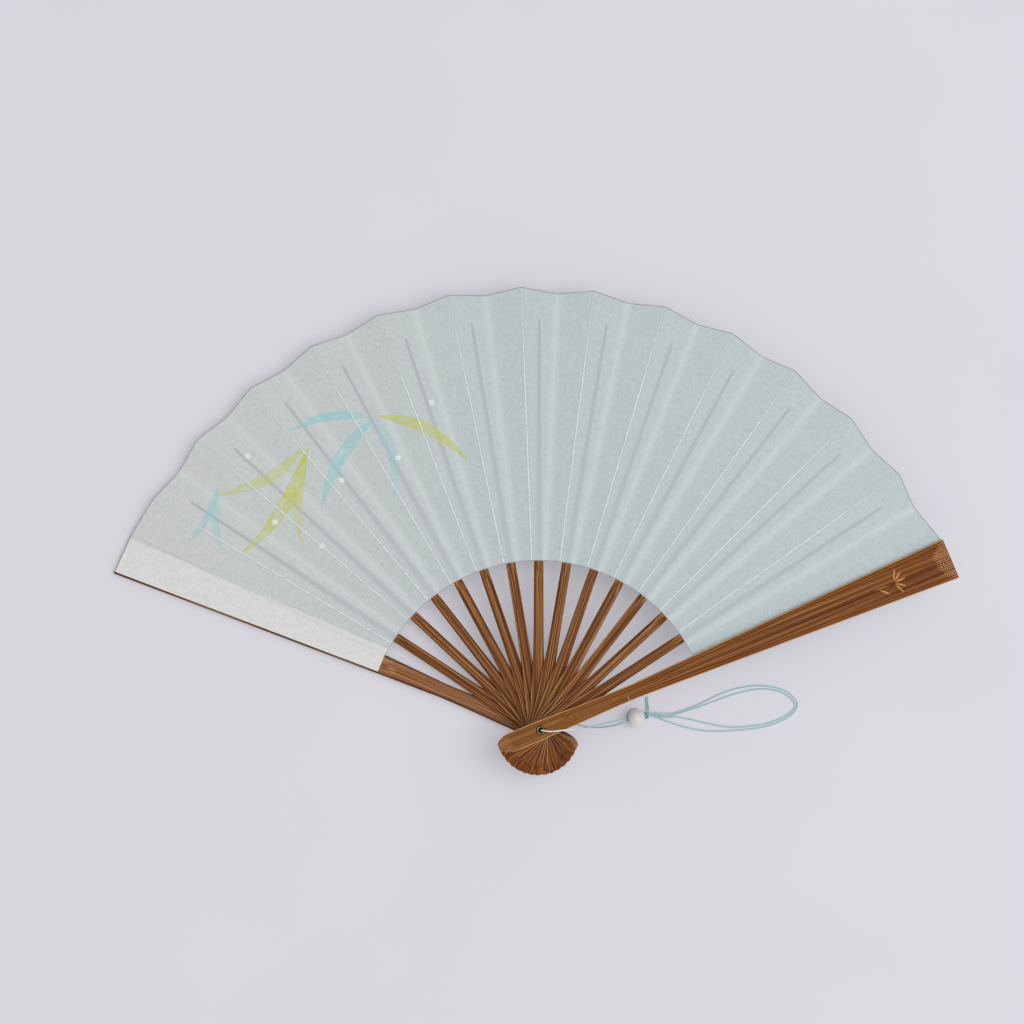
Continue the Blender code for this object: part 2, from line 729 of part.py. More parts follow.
def main():
    clear_scene()
    new_collection("folding_fan")
    new_collection("folding_fan_cutters", hidden=True)
    axis = bpy.data.objects.new("eyelet_axis", None)
    axis.location = (0, EYELET_Y, 0)
    bpy.data.collections["folding_fan"].objects.link(axis)

    hole = make_hole_cutter(axis)
    guards = make_guards(axis, hole)
    make_ribs(axis, hole)
    make_pleats(axis, guards)
    make_eyelet(axis)
    make_bead(axis)
    make_cords(axis)
    make_knot(axis)


main()
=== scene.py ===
# %% [markdown]
# # A folding fan lying open
# A folding fan is a stack of bamboo sticks that turn on one eyelet, with a pleated paper leaf on their thin
# ends and a beaded cord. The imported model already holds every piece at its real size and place, so it is
# loaded first. Each later step then dresses one piece, in the same metres, where the model says it lies.

# %% Load the model
import functools
import math
from typing import NamedTuple

import bmesh
import bpy
from mathutils import Matrix, Vector, noise


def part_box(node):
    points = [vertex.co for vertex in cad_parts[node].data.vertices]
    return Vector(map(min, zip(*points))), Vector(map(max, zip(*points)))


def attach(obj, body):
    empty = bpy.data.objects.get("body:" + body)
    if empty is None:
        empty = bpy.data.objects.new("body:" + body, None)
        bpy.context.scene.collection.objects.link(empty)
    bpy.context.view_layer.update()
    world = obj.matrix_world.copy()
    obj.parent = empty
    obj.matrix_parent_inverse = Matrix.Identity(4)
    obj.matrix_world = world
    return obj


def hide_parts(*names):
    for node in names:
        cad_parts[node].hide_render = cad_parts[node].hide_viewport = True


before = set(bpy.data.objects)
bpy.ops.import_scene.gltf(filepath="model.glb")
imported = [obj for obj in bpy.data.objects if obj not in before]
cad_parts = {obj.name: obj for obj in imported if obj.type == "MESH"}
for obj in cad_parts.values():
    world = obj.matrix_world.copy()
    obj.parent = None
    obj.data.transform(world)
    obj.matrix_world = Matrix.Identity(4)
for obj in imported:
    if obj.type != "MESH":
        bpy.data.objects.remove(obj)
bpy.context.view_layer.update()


def in_mm(values):
    return [round(1000 * value, 1) for value in values]


# %% [markdown]
# The sticks, the leaf and the cord all hang on a few sizes of the real fan: how far each piece reaches from
# the eyelet, how thick the stack is, and how far apart the ribs are turned. They are named here once.

# %% Sizes of the fan
MM = 0.001
RIB_COUNT = 13
RIB_PITCH = math.radians(9.5)
END_PITCH = math.radians(10.3)
SPREAD = 2 * END_PITCH + (RIB_COUNT - 1) * RIB_PITCH
REAR_TURN = math.pi / 2 + SPREAD / 2
FRONT_TURN = REAR_TURN - SPREAD
PANEL_TURN = RIB_PITCH / 4
TIP_REACH = 191 * MM
TAIL_REACH = 18.9 * MM
LEAF_INNER_REACH = 71.9 * MM
MOUNTAIN_REACH = 190.2 * MM
VALLEY_REACH = 187.8 * MM
BLADE_REACH = 176 * MM
GUARD_THICKNESS = 2.8 * MM
RIB_THICKNESS = 1.0 * MM
STACK_PITCH = 1.3 * MM
FIRST_RIB_HEIGHT = 3.6 * MM
STACK_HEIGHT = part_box("guard_front")[1].z
EYELET_Y = sum(corner.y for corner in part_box("eyelet")) / 2
print("eyelet axis at y and stack height, mm:", in_mm((EYELET_Y, STACK_HEIGHT)))


def between(start, end, share):
    return start + (end - start) * share


def rib_turn(i):
    """The way rib i points, from +X, with rib 1 next to the rear guard."""
    return REAR_TURN - END_PITCH - (i - 1) * RIB_PITCH


def rib_height(i):
    return FIRST_RIB_HEIGHT + (i - 1) * STACK_PITCH


def on_fan(turn=0.0, height=0.0, over=False):
    """The place of a piece that is modelled along +X with the eyelet's axis at the origin."""
    place = Matrix.Translation((0, EYELET_Y, height)) @ Matrix.Rotation(turn, 4, "Z")
    return place @ Matrix.Rotation(math.pi, 4, "X") if over else place


# %% [markdown]
# A product shot like this one is taken from almost straight above. The camera stands 0.9 m up, a little to
# the left, and leans a few degrees, which is what makes the left half of the fan look slightly wider.

# %% The camera
CAMERA_PLACE = (-0.0892, EYELET_Y + 0.0028, 0.8979)
CAMERA_TURN = (5.740, -5.029, 0.196)


def add_object(name, data):
    made = bpy.data.objects.new(name, data)
    bpy.context.scene.collection.objects.link(made)
    return made


camera = add_object("camera", bpy.data.cameras.new("camera"))
camera.data.lens = 73.75
camera.data.sensor_width = 36
camera.location = CAMERA_PLACE
camera.rotation_euler = [math.radians(angle) for angle in CAMERA_TURN]
bpy.context.scene.camera = camera
print("camera at, mm:", in_mm(camera.location))

# %% [markdown]
# The cord is thin, limp and laid from three yarns. It comes out of the bead, runs over the head and down
# through the eyelet, and comes back under the head to the bead. A second, doubled length makes the wrist
# loop. Each route is a short list of points in millimetres from the eyelet, and a smooth curve is read
# through them. A point without a height lies on the table.

# %% The cord's route
CORD_DIAMETER = 0.6 * MM
CORD_LIES = 0.36
CORD_STEP = 0.3 * MM
BEAD_RADIUS = 4.1 * MM
BEAD_CENTRE = Vector((0.0423, 0.0054, BEAD_RADIUS))
BEAD_TURN = math.radians(12)
BEAD_DIP = math.radians(20)
KNOT_RADIUS = 1.6 * MM
SEAT_GAP = 0.3 * MM
STRAND_OFFSET = 0.45 * MM
LOOP_BUNDLE = 0.42 * MM
TOP_STRAND = (
    (36.4, 4.6, 6.3), (32.7, 3.9, 8.2), (26.7, 2.6, 12.2), (20.0, 1.2, 17.1), (15.6, 0.6, 19.9),
    (12.5, 0.4, 21.2), (9.4, 0.1, 21.9), (5.2, -0.4, 22.3), (2.2, -0.3, 22.4), (0.9, -0.1, 22.1),
    (0.4, 0, 21.5), (0.2, 0, 20.0), (0, 0, 11.0), (0.2, 0, 2.0), (0.4, 0.1, 1.0), (0.9, 0.2, 0.45),
)
LOW_STRAND = (
    (2.0, 0.4), (8.0, 1.6), (15.6, 2.6), (22.0, 1.5), (28.0, 1.2, 0.8), (33.4, 2.1, 3.1), (36.3, 3.1, 5.3),
)
OUTER_LOOP = (
    (53.2, 7.4, 1.35), (57.0, 7.3, 0.5), (60.5, 7.8), (67.3, 10.0), (73.3, 12.6), (80.7, 16.1),
    (87.4, 18.2), (95.2, 19.4), (102.5, 19.0), (109.2, 16.9), (113.0, 13.3), (113.7, 10.8),
    (112.4, 8.2), (109.0, 5.5), (102.2, 2.6), (95.5, 1.1), (87.2, 0.3), (80.5, -0.2),
    (73.8, -0.1), (67.2, 0.9), (62.0, 2.2), (56.8, 3.9), (53.2, 5.2, 0.7),
)
INNER_LOOP = (
    (53.2, 6.6, 0.9), (57.0, 6.4), (60.5, 7.0), (67.3, 9.1), (73.3, 11.2), (80.7, 13.9),
    (87.4, 16.1), (95.1, 17.8), (101.5, 17.9), (107.8, 16.2), (111.8, 12.9), (112.7, 10.8),
    (111.6, 8.8), (108.4, 6.4), (101.9, 3.7), (95.4, 2.3), (87.2, 1.6), (80.5, 1.9),
    (73.9, 3.2), (67.2, 4.7), (60.5, 5.9), (57.0, 5.6, 0.55), (53.2, 5.8, 1.5),
)
KNOT_TAILS = (
    ((47.9, 9.4, 1.1), (47.7, 11.6, 0.4), (47.5, 14.2, 0.4)),
    ((48.6, 9.4, 1.1), (48.4, 11.8, 0.4), (48.2, 14.6, 0.4)),
)
along_bore = Matrix.Rotation(BEAD_TURN, 3, "Z") @ Matrix.Rotation(BEAD_DIP, 3, "Y") @ Vector((1, 0, 0))
across_bore = Vector((-math.sin(BEAD_TURN), math.cos(BEAD_TURN), 0))
knot_centre = BEAD_CENTRE + along_bore * (BEAD_RADIUS + SEAT_GAP + KNOT_RADIUS)
print("knot from the eyelet, mm:", in_mm(knot_centre))


def traced(points):
    return [Vector((*point, CORD_LIES)[:3]) * MM for point in points]


def smooth_route(points):
    """Points a cord step apart, read from a smooth curve through the route's own points, on the fan."""
    ends = [2 * points[0] - points[1], *points, 2 * points[-1] - points[-2]]
    route = []
    for before, start, end, after in zip(ends, ends[1:], ends[2:], ends[3:]):
        count = max(2, round((end - start).length / CORD_STEP))
        for i in range(count):
            t = i / count
            bend = 2 * before - 5 * start + 4 * end - after
            swing = 3 * start - before - 3 * end + after
            route.append((2 * start + (end - before) * t + bend * t**2 + swing * t**3) / 2)
    return [on_fan() @ point for point in [*route, points[-1]]]


def route_length(route):
    return sum((b - a).length for a, b in zip(route, route[1:]))


# %% [markdown]
# Three yarns twisted together leave three grooves that wind round the cord. Here the cord's section is a
# small three-lobed outline. It is swept along the route as a curve's bevel object, while the tilt of the
# curve's points turns it steadily, and the swept curve is then converted to a mesh.

# %% Lay a cord along a route
YARN_COUNT = 3
YARN_GROOVE_SHARE = 0.12
YARN_SIDES = 15
TWIST_LENGTH = 2.6 * MM
TOUCH = 1e-6


def use(piece):
    """Leaves only this piece selected, so that an operator acts on nothing else."""
    bpy.ops.object.select_all(action="DESELECT")
    piece.select_set(True)
    bpy.context.view_layer.objects.active = piece


def add_curve(name, points, cyclic=False):
    data = bpy.data.curves.new(name, "CURVE")
    data.dimensions = "3D"
    spline = data.splines.new("POLY")
    spline.points.add(len(points) - 1)
    for spline_point, point in zip(spline.points, points):
        spline_point.co = (*point, 1)
    spline.use_cyclic_u = cyclic
    return add_object(name, data)


def yarn_outline(diameter):
    points = []
    for i in range(YARN_SIDES):
        turn = 2 * math.pi * i / YARN_SIDES
        groove = YARN_GROOVE_SHARE * (1 - math.cos(YARN_COUNT * turn)) / 2
        radius = diameter / 2 * (1 - groove)
        points.append((radius * math.cos(turn), radius * math.sin(turn), 0))
    return add_curve("yarn_outline", points, cyclic=True)


def lay_cord(name, route, diameter=CORD_DIAMETER, cyclic=False):
    """A twisted cord along a route, as a mesh."""
    cord = add_curve(name, route, cyclic)
    outline = yarn_outline(diameter)
    cord.data.bevel_mode = "OBJECT"
    cord.data.bevel_object = outline
    cord.data.use_fill_caps = not cyclic
    travelled = 0.0
    for i, point in enumerate(cord.data.splines[0].points):
        travelled += (route[i] - route[max(i - 1, 0)]).length
        point.tilt = 2 * math.pi * travelled / TWIST_LENGTH
    use(cord)
    bpy.ops.object.convert(target="MESH")
    bpy.data.objects.remove(outline)
    bpy.ops.object.mode_set(mode="EDIT")
    bpy.ops.mesh.select_all(action="SELECT")
    bpy.ops.mesh.remove_doubles(threshold=TOUCH)
    bpy.ops.mesh.normals_make_consistent(inside=False)
    bpy.ops.object.mode_set(mode="OBJECT")
    bpy.ops.object.shade_smooth_by_angle(angle=math.radians(60))
    return cord


# %% The eyelet loop and the wrist loop
def bead_ends(side):
    """The two ends of the bead's bore, knot end first, moved aside for one of the two strands."""
    return [BEAD_CENTRE + along_bore * BEAD_RADIUS + side, BEAD_CENTRE - along_bore * BEAD_RADIUS + side]


top_ends = bead_ends(across_bore * STRAND_OFFSET)
low_ends = bead_ends(-across_bore * STRAND_OFFSET)
knot_face = knot_centre + Vector((math.cos(BEAD_TURN), math.sin(BEAD_TURN), 0)) * (KNOT_RADIUS + SEAT_GAP)
aside = across_bore * LOOP_BUNDLE
rise = Vector((0, 0, LOOP_BUNDLE))


def from_knot(points, beside):
    """A wrist loop leaves the knot on one side of its face and comes back on the other."""
    return [knot_face + beside, *traced(points), knot_face - beside]


cords = {}
for name, node, points in (
    ("eyelet_cord", "cord_eyelet_loop", [*top_ends, *traced(TOP_STRAND + LOW_STRAND), *reversed(low_ends)]),
    ("wrist_loop_outer", "cord_loop_outer", from_knot(OUTER_LOOP, aside + rise)),
    ("wrist_loop_inner", "cord_loop_inner", from_knot(INNER_LOOP, aside - rise)),
):
    route = smooth_route(points)
    cords[name] = (lay_cord(name, route), node, route)
    print(name, "is", *in_mm([route_length(route)]), "mm long")

# %% [markdown]
# The knot is a tight overhand knot. Its path is the classic trefoil curve, drawn in until neighbouring turns
# touch, and the two cut tails are short cords that start inside it. They are joined into one piece.

# %% The knot
KNOT_HALF_HEIGHT = 1.3 * MM
KNOT_STRAND = 0.84 * MM
KNOT_STEPS = 96
TREFOIL_REACH = 3
knot_width = (KNOT_RADIUS - KNOT_STRAND / 2) / TREFOIL_REACH
knot_height = KNOT_HALF_HEIGHT - KNOT_STRAND / 2
knot_path = []
for i in range(KNOT_STEPS):
    t = 2 * math.pi * i / KNOT_STEPS
    x = knot_width * (math.sin(t) + 2 * math.sin(2 * t))
    y = knot_width * (math.cos(t) - 2 * math.cos(2 * t))
    knot_path.append(on_fan() @ (knot_centre + Vector((x, y, -knot_height * math.sin(3 * t)))))
knot = lay_cord("cord_knot", knot_path, KNOT_STRAND, cyclic=True)
tails = []
for i, tail in enumerate(KNOT_TAILS):
    start = knot_centre + Vector((STRAND_OFFSET * (2 * i - 1), 0, 0))
    tails.append(lay_cord(f"knot_tail_{i + 1}", smooth_route([start, *traced(tail)])))
use(knot)
for tail in tails:
    tail.select_set(True)
bpy.ops.object.join()
print("knot", len(knot.data.polygons), "faces")

# %% [markdown]
# The rest of the pieces start as primitives that are shaped in edit mode. A few helpers save repeating the
# same calls: one adds a primitive alone in the selection, one selects a part of it by its place, and the
# others apply a modifier, cut one piece with another, round the edges and drill a hole.

# %% Helpers for modelling
def add_shape(name, operator, **settings):
    """Adds a primitive with nothing else selected, names it, and puts its place into its mesh."""
    bpy.ops.object.select_all(action="DESELECT")
    operator(**settings)
    made = bpy.context.object
    made.name = made.data.name = name
    bpy.ops.object.transform_apply(location=True, rotation=True, scale=True)
    return made


def pick(piece, kind, test):
    """In edit mode, selects the vertices or edges for which the test holds, and nothing else."""
    bpy.ops.mesh.select_mode(type=kind)
    bpy.ops.mesh.select_all(action="DESELECT")
    shape = bmesh.from_edit_mesh(piece.data)
    for part in {"VERT": shape.verts, "EDGE": shape.edges}[kind]:
        part.select = bool(test(part))
    shape.select_flush_mode()
    bmesh.update_edit_mesh(piece.data)


def finish_with(piece, kind, **settings):
    """Adds a modifier with its settings and applies it."""
    use(piece)
    modifier = piece.modifiers.new(kind.lower(), kind)
    for key, value in settings.items():
        setattr(modifier, key, value)
    bpy.ops.object.modifier_apply(modifier=modifier.name)


def combine(piece, other, operation="DIFFERENCE"):
    """Cuts a piece with another, or keeps what both share, and removes the other."""
    finish_with(piece, "BOOLEAN", operation=operation, object=other)
    bpy.data.objects.remove(other)


def round_edges(piece, width, segments, degrees):
    limit = math.radians(degrees)
    finish_with(piece, "BEVEL", width=width, segments=segments, limit_method="ANGLE", angle_limit=limit)


def drill(piece, sides, **settings):
    combine(piece, add_shape("drill", bpy.ops.mesh.primitive_cylinder_add, vertices=sides, **settings))


def smooth(piece, degrees=35):
    use(piece)
    bpy.ops.object.shade_smooth_by_angle(angle=math.radians(degrees))


def keep_value(piece, name, values, kind="FLOAT", field="value"):
    """Writes a value at each of the piece's points, for its finish to read."""
    piece.data.attributes.new(name, kind, "POINT").data.foreach_set(field, values)


def keep_stick_place(piece, seed):
    """Keeps where each point lies on its stick, and a seed for its grain, before the stick is turned."""
    points = piece.data.vertices
    places = [value for vertex in points for value in vertex.co]
    keep_value(piece, "stick_place", places, "FLOAT_VECTOR", "vector")
    keep_value(piece, "stick_seed", [seed] * len(points))


def copy_of(piece, name):
    made = add_object(name, piece.data.copy())
    made.data.name = name
    return made


# %% [markdown]
# A stick is whittled from a straight blank. It starts as a box, is cut by a loop at each place where its
# outline turns, and each loop is then drawn in to the stick's width and moved to its two faces. This keeps
# one row of quads down the whole stick, which a bevel can round evenly.

# %% A stick's outline
BULGE_REACH = 12 * MM
BULGE_WIDTH = 8.2 * MM
WAIST_REACH = 43 * MM
SHOULDER_REACH = 71.5 * MM
TAIL_STEPS = 8
WAIST_STEPS = 9
BLANK_WIDTH = 18 * MM


class Stick(NamedTuple):
    """A stick's outline. A larger tail start leaves its tail blunter."""

    waist_width: float
    end_width: float
    end_reach: float
    tail_start: float

    def reaches(self):
        """Places along the rounded tail, closer together at its end, and along the waist."""
        run = (TAIL_REACH - BULGE_REACH) / math.cos(self.tail_start)
        turns = [between(self.tail_start, math.pi / 2, i / TAIL_STEPS) for i in range(TAIL_STEPS)]
        waist = [between(-BULGE_REACH, WAIST_REACH, i / WAIST_STEPS) for i in range(WAIST_STEPS + 1)]
        return [-BULGE_REACH - run * math.cos(turn) for turn in turns] + waist

    def half_width(self, x):
        """Half the width: a rounded tail, an eased waist, then a straight taper to the end."""
        if x <= -BULGE_REACH:
            share = (-x - BULGE_REACH) * math.cos(self.tail_start) / (TAIL_REACH - BULGE_REACH)
            return BULGE_WIDTH / 2 * math.sqrt(1 - share * share)
        if x <= WAIST_REACH:
            share = (x + BULGE_REACH) / (WAIST_REACH + BULGE_REACH)
            return between(BULGE_WIDTH, self.waist_width, (1 - math.cos(math.pi * share)) / 2) / 2
        share = (x - WAIST_REACH) / (self.end_reach - WAIST_REACH)
        return between(self.waist_width, self.end_width, share) / 2


GUARD = Stick(6.2 * MM, 17.9 * MM, TIP_REACH, math.radians(20))
RIB = Stick(4.2 * MM, 4.0 * MM, SHOULDER_REACH, math.radians(7))
print("half widths at the eyelet, guard and rib, mm:", in_mm([GUARD.half_width(0), RIB.half_width(0)]))


# %% Whittle a stick from a blank
def whittle(name, thickness, loops):
    """A stick along X. Each loop is (reach, half width, low, high, roll), in order from tail to end."""
    start, end = loops[0][0], loops[-1][0]
    stick = add_shape(
        name,
        bpy.ops.mesh.primitive_cube_add,
        size=1,
        location=((start + end) / 2, 0, thickness / 2),
        scale=(end - start, BLANK_WIDTH, thickness),
    )
    bpy.ops.object.mode_set(mode="EDIT")
    for reach, *_ in loops[1:-1]:
        bpy.ops.mesh.select_all(action="SELECT")
        bpy.ops.mesh.bisect(plane_co=(reach, 0, 0), plane_no=(1, 0, 0))
    for reach, half_width, low, high, roll in loops:
        pick(stick, "VERT", lambda vertex: abs(vertex.co.x - reach) < TOUCH)
        centre = (reach, 0, thickness / 2)
        narrowing = (1, 2 * half_width / BLANK_WIDTH, (high - low) / thickness)
        bpy.ops.transform.resize(value=narrowing, center_override=centre)
        bpy.ops.transform.translate(value=(0, 0, (low + high - thickness) / 2))
        if roll:
            middle = (reach, 0, (low + high) / 2)
            bpy.ops.transform.rotate(value=-roll, orient_axis="X", center_override=middle)
    bpy.ops.object.mode_set(mode="OBJECT")
    return stick


# %% [markdown]
# The guards are the two outer sticks. Their outer face is flat and steps down at the head, so that the
# eyelet sits within it, and their inner face thins where the leaf's end is glued on. Both are one shape, and
# the front one is turned over.

# %% A guard's loops
HEAD_RELIEF = 1.8 * MM
RELIEF_REACH = 10 * MM
RELIEF_RUN = 6 * MM
MOUTH_THICKNESS = 2.25 * MM
TIP_THICKNESS = 1.75 * MM
THINNING_RUN = 7 * MM
EDGE_ROUND = 0.32 * MM
STICK_BORE = {"radius": 1.6 * MM, "depth": BLANK_WIDTH}


def guard_inner_height(x):
    """The inner face steps down to seat the leaf's end and thins towards the tip."""
    if x <= SHOULDER_REACH:
        share = max((x - SHOULDER_REACH + THINNING_RUN) / THINNING_RUN, 0)
        return between(GUARD_THICKNESS, MOUTH_THICKNESS, share)
    return between(MOUTH_THICKNESS, TIP_THICKNESS, (x - SHOULDER_REACH) / (TIP_REACH - SHOULDER_REACH))


def guard_loop(x):
    share = min(max((x - RELIEF_REACH) / RELIEF_RUN, 0), 1)
    return x, GUARD.half_width(x), HEAD_RELIEF * (1 - share), guard_inner_height(x), 0.0


relief = (RELIEF_REACH, RELIEF_REACH + RELIEF_RUN)
seat = (SHOULDER_REACH - THINNING_RUN, SHOULDER_REACH, TIP_REACH)
guard_reaches = sorted([*GUARD.reaches(), *relief, *seat])
guard_blank = whittle("guard_blank", GUARD_THICKNESS, [guard_loop(x) for x in guard_reaches])
round_edges(guard_blank, EDGE_ROUND, 3, 50)
drill(guard_blank, 48, **STICK_BORE)
print("guard", len(guard_blank.data.polygons), "faces")

# %% [markdown]
# The front guard carries a small carved ornament near its tip. A spray of plain narrow leaves is a common
# motif on bamboo. Each leaf is the lens where two discs overlap, so two cylinders are intersected, and the
# lens is sunk a little into the outer face. The carving's faces get the second material slot, for the pale
# wood under the skin.

# %% Carve the ornament
CARVING_DEPTH = 0.18 * MM
CARVED_STEM = (9.0 * MM, 0.36 * MM)
CARVED_LEAF = (5.6 * MM, 0.8 * MM)
SPRAY_REACH = 163 * MM
SPRAY = (
    (CARVED_STEM, -9.2, 0, 4),
    (CARVED_LEAF, 0.9, -0.7, -62),
    (CARVED_LEAF, 0.9, -0.35, -32),
    (CARVED_LEAF, 0.9, 0, 0),
    (CARVED_LEAF, 0.9, 0.35, 34),
    (CARVED_LEAF, 0.9, 0.7, 64),
    (CARVED_LEAF, -6.4, 0.5, 44),
)
OUTER, CARVED, INNER, SIDE = range(4)
stick_sides = [bpy.data.materials.new(name) for name in ("outer", "carved", "inner", "side")]


def dress(piece, *materials):
    """Puts a finish in each of the piece's slots, and keeps what each face already points at."""
    for i, material in enumerate(materials):
        if i < len(piece.data.materials):
            piece.data.materials[i] = material
        else:
            piece.data.materials.append(material)


def lens_cutter(length, width):
    """A pointed leaf shape along X, standing on both sides of the face at height 0."""
    radius = (length**2 + width**2) / (4 * width)
    disc = {"vertices": 256, "radius": radius, "depth": 2 * CARVING_DEPTH}
    discs = []
    for side in (-1, 1):
        middle = (0, side * (radius - width / 2), 0)
        discs.append(add_shape("lens", bpy.ops.mesh.primitive_cylinder_add, location=middle, **disc))
    combine(*discs, "INTERSECT")
    return discs[0]


def carve(stick, length, width, reach, aside, turn):
    cutter = lens_cutter(length, width)
    root = Matrix.Translation((length / 2, 0, 0))
    cutter.data.transform(Matrix.Translation((reach, aside, 0)) @ Matrix.Rotation(turn, 4, "Z") @ root)
    dress(cutter, *stick_sides)
    for face in cutter.data.polygons:
        face.material_index = CARVED
    combine(stick, cutter)


front_guard = copy_of(guard_blank, "front_guard_stick")
rear_guard = copy_of(guard_blank, "rear_guard_stick")
bpy.data.objects.remove(guard_blank)
for guard in (front_guard, rear_guard):
    dress(guard, *stick_sides)
for (length, width), reach, aside, degrees in SPRAY:
    carve(front_guard, length, width, SPRAY_REACH + reach * MM, aside * MM, math.radians(degrees))
print("front guard", len(front_guard.data.polygons), "faces")

# %% Put the guards in place
FACES_UP = 0.7
UPRIGHT = 0.4
for guard, seed in ((front_guard, 4.2), (rear_guard, 11.6)):
    keep_stick_place(guard, seed)
    for face in guard.data.polygons:
        if face.normal.z > FACES_UP and face.center.z > GUARD_THICKNESS / 2:
            face.material_index = INNER
        elif abs(face.normal.z) < UPRIGHT and face.material_index == OUTER:
            face.material_index = SIDE
front_guard.data.transform(on_fan(FRONT_TURN, STACK_HEIGHT, over=True))
rear_guard.data.transform(on_fan(REAR_TURN))
for guard in (front_guard, rear_guard):
    smooth(guard)
    print(guard.name, "spans, mm:", in_mm(guard.dimensions))

# %% [markdown]
# A rib is a thinner stick. Past its shoulder it is shaved to a blade as thin as card, which is pushed
# between the two plies of the leaf and lies at the leaf's own tilt. One rib is whittled, and the other
# twelve are copies with meshes of their own.

# %% The ribs
PANEL_TILT = math.radians(3)
BLADE_WIDTHS = (3.8 * MM, 1.2 * MM)
BLADE_THICKNESSES = (0.26 * MM, 0.16 * MM)
SHOULDER_GAP = 0.4 * MM
SEED_STEP = 3.1
rib_reaches = [*RIB.reaches(), SHOULDER_REACH - THINNING_RUN]
rib_loops = [(x, RIB.half_width(x), 0, RIB_THICKNESS, 0) for x in rib_reaches]
for x, width, thickness in (
    (SHOULDER_REACH - SHOULDER_GAP, RIB.end_width, BLADE_THICKNESSES[0]),
    (SHOULDER_REACH, BLADE_WIDTHS[0], BLADE_THICKNESSES[0]),
    (BLADE_REACH, BLADE_WIDTHS[1], BLADE_THICKNESSES[1]),
):
    faces = [(RIB_THICKNESS + side * thickness) / 2 for side in (-1, 1)]
    rib_loops.append((x, width / 2, *faces, PANEL_TILT))
rib_blank = whittle("rib_blank", RIB_THICKNESS, rib_loops)
round_edges(rib_blank, EDGE_ROUND / 2, 2, 50)
drill(rib_blank, 48, **STICK_BORE)
dress(rib_blank, *stick_sides[:2])
ribs = []
for i in range(1, RIB_COUNT + 1):
    rib = copy_of(rib_blank, f"rib_stick_{i:02d}")
    keep_stick_place(rib, SEED_STEP * i)
    for face in rib.data.polygons:
        face.material_index = int(abs(face.normal.z) < UPRIGHT)
    rib.data.transform(on_fan(rib_turn(i), rib_height(i) - RIB_THICKNESS / 2))
    smooth(rib)
    ribs.append(rib)
bpy.data.objects.remove(rib_blank)
print(len(ribs), "ribs of", len(ribs[0].data.polygons), "faces")

# %% [markdown]
# The leaf is one sheet of paper folded into mountains and valleys. Every rib lies in the middle of a panel,
# between a mountain on its left and a valley on its right, and a plain pleat climbs from there to the next
# mountain. At the two ends the sheet is glued to the inner face of a guard. A fold is described as a line
# that gives the height and place of the paper for each step from the inner edge to the outer one.

# %% Fold lines of the leaf
PAPER = 0.14 * MM
GLUE_GAP = 0.03 * MM
END_INSET = 0.8 * MM
GUARD_PAPER_REACH = 190.85 * MM
PAPER_RISE = GLUE_GAP + PAPER / 2
FOLDED_RISE = PAPER_RISE + PAPER + 0.07 * MM


def fold_line(i, side, outer_reach):
    """A fold beside rib i: its place at each share of the way out, 0 to 1."""
    turn = rib_turn(i) + side * PANEL_TURN

    def line(share):
        reach = between(LEAF_INNER_REACH, outer_reach, share)
        rise = reach * math.sin(PANEL_TURN) * math.sin(PANEL_TILT)
        return on_fan(turn, rib_height(i)) @ Vector((reach, 0, side * rise))

    return line


def mountain(i):
    """The high fold on the left of rib i."""
    return fold_line(i, 1, MOUNTAIN_REACH)


def valley(i):
    """The low fold on the right of rib i."""
    return fold_line(i, -1, VALLEY_REACH)


def guard_line(place, side, inset, sign=1, rise=PAPER_RISE):
    """A line along a guard's inner face, beside one of its edges. The front guard's face looks down."""

    def line(share):
        x = between(LEAF_INNER_REACH, GUARD_PAPER_REACH, share)
        height = guard_inner_height(x) + rise
        return place @ Vector((x, side * (GUARD.half_width(x) - inset), sign * height))

    return line


rear_place = on_fan(REAR_TURN)
front_place = on_fan(FRONT_TURN, STACK_HEIGHT)
rear_edge = guard_line(rear_place, -1, 0)
rear_far_edge = guard_line(rear_place, 1, END_INSET)
rear_fold = guard_line(rear_place, -1, 0, rise=FOLDED_RISE)
front_edge = guard_line(front_place, 1, 0, -1)
front_far_edge = guard_line(front_place, -1, END_INSET, -1)
front_fold = guard_line(front_place, 1, 0, -1, FOLDED_RISE)
print("mountain 1 ends at, mm:", in_mm(mountain(1)(1)))

# %% [markdown]
# Paper never folds to a perfect edge. A mountain is pressed sharp and a valley stays softer, so the height is
# eased near each fold, over a share of the panel's width, in a way that keeps one smooth slope across the
# fold. The two plies also swell over the blade that is pushed between them. A grid is laid out between two
# fold lines for each strip, with its columns closer together at the folds, and Solidify gives it thickness.

# %% How the paper eases and swells
FOLD_SHARES = {"mountain": (-1, 0.05), "valley": (1, 0.24), "glued": (0, 1)}
SWELL_EDGE = (-0.1 * MM, 1.0 * MM)
SWELL_END_RUN = 3 * MM
SWELL = BLADE_THICKNESSES[0]


def fold_slope(reach):
    """Half the change of slope at a fold, which gets steeper towards the inner edge."""
    pleat_slope = STACK_PITCH / (2 * reach * math.sin(PANEL_TURN)) + math.sin(PANEL_TILT)
    return (pleat_slope + math.sin(PANEL_TILT)) / 2


def fold_ease(kind, distance, width, reach):
    sign, share = FOLD_SHARES[kind]
    run = share * width
    return sign * fold_slope(reach) * max(run - distance, 0) ** 2 / (2 * run)


def ease(low, high, value):
    share = min(max((value - low) / (high - low), 0), 1)
    return share * share * (3 - 2 * share)


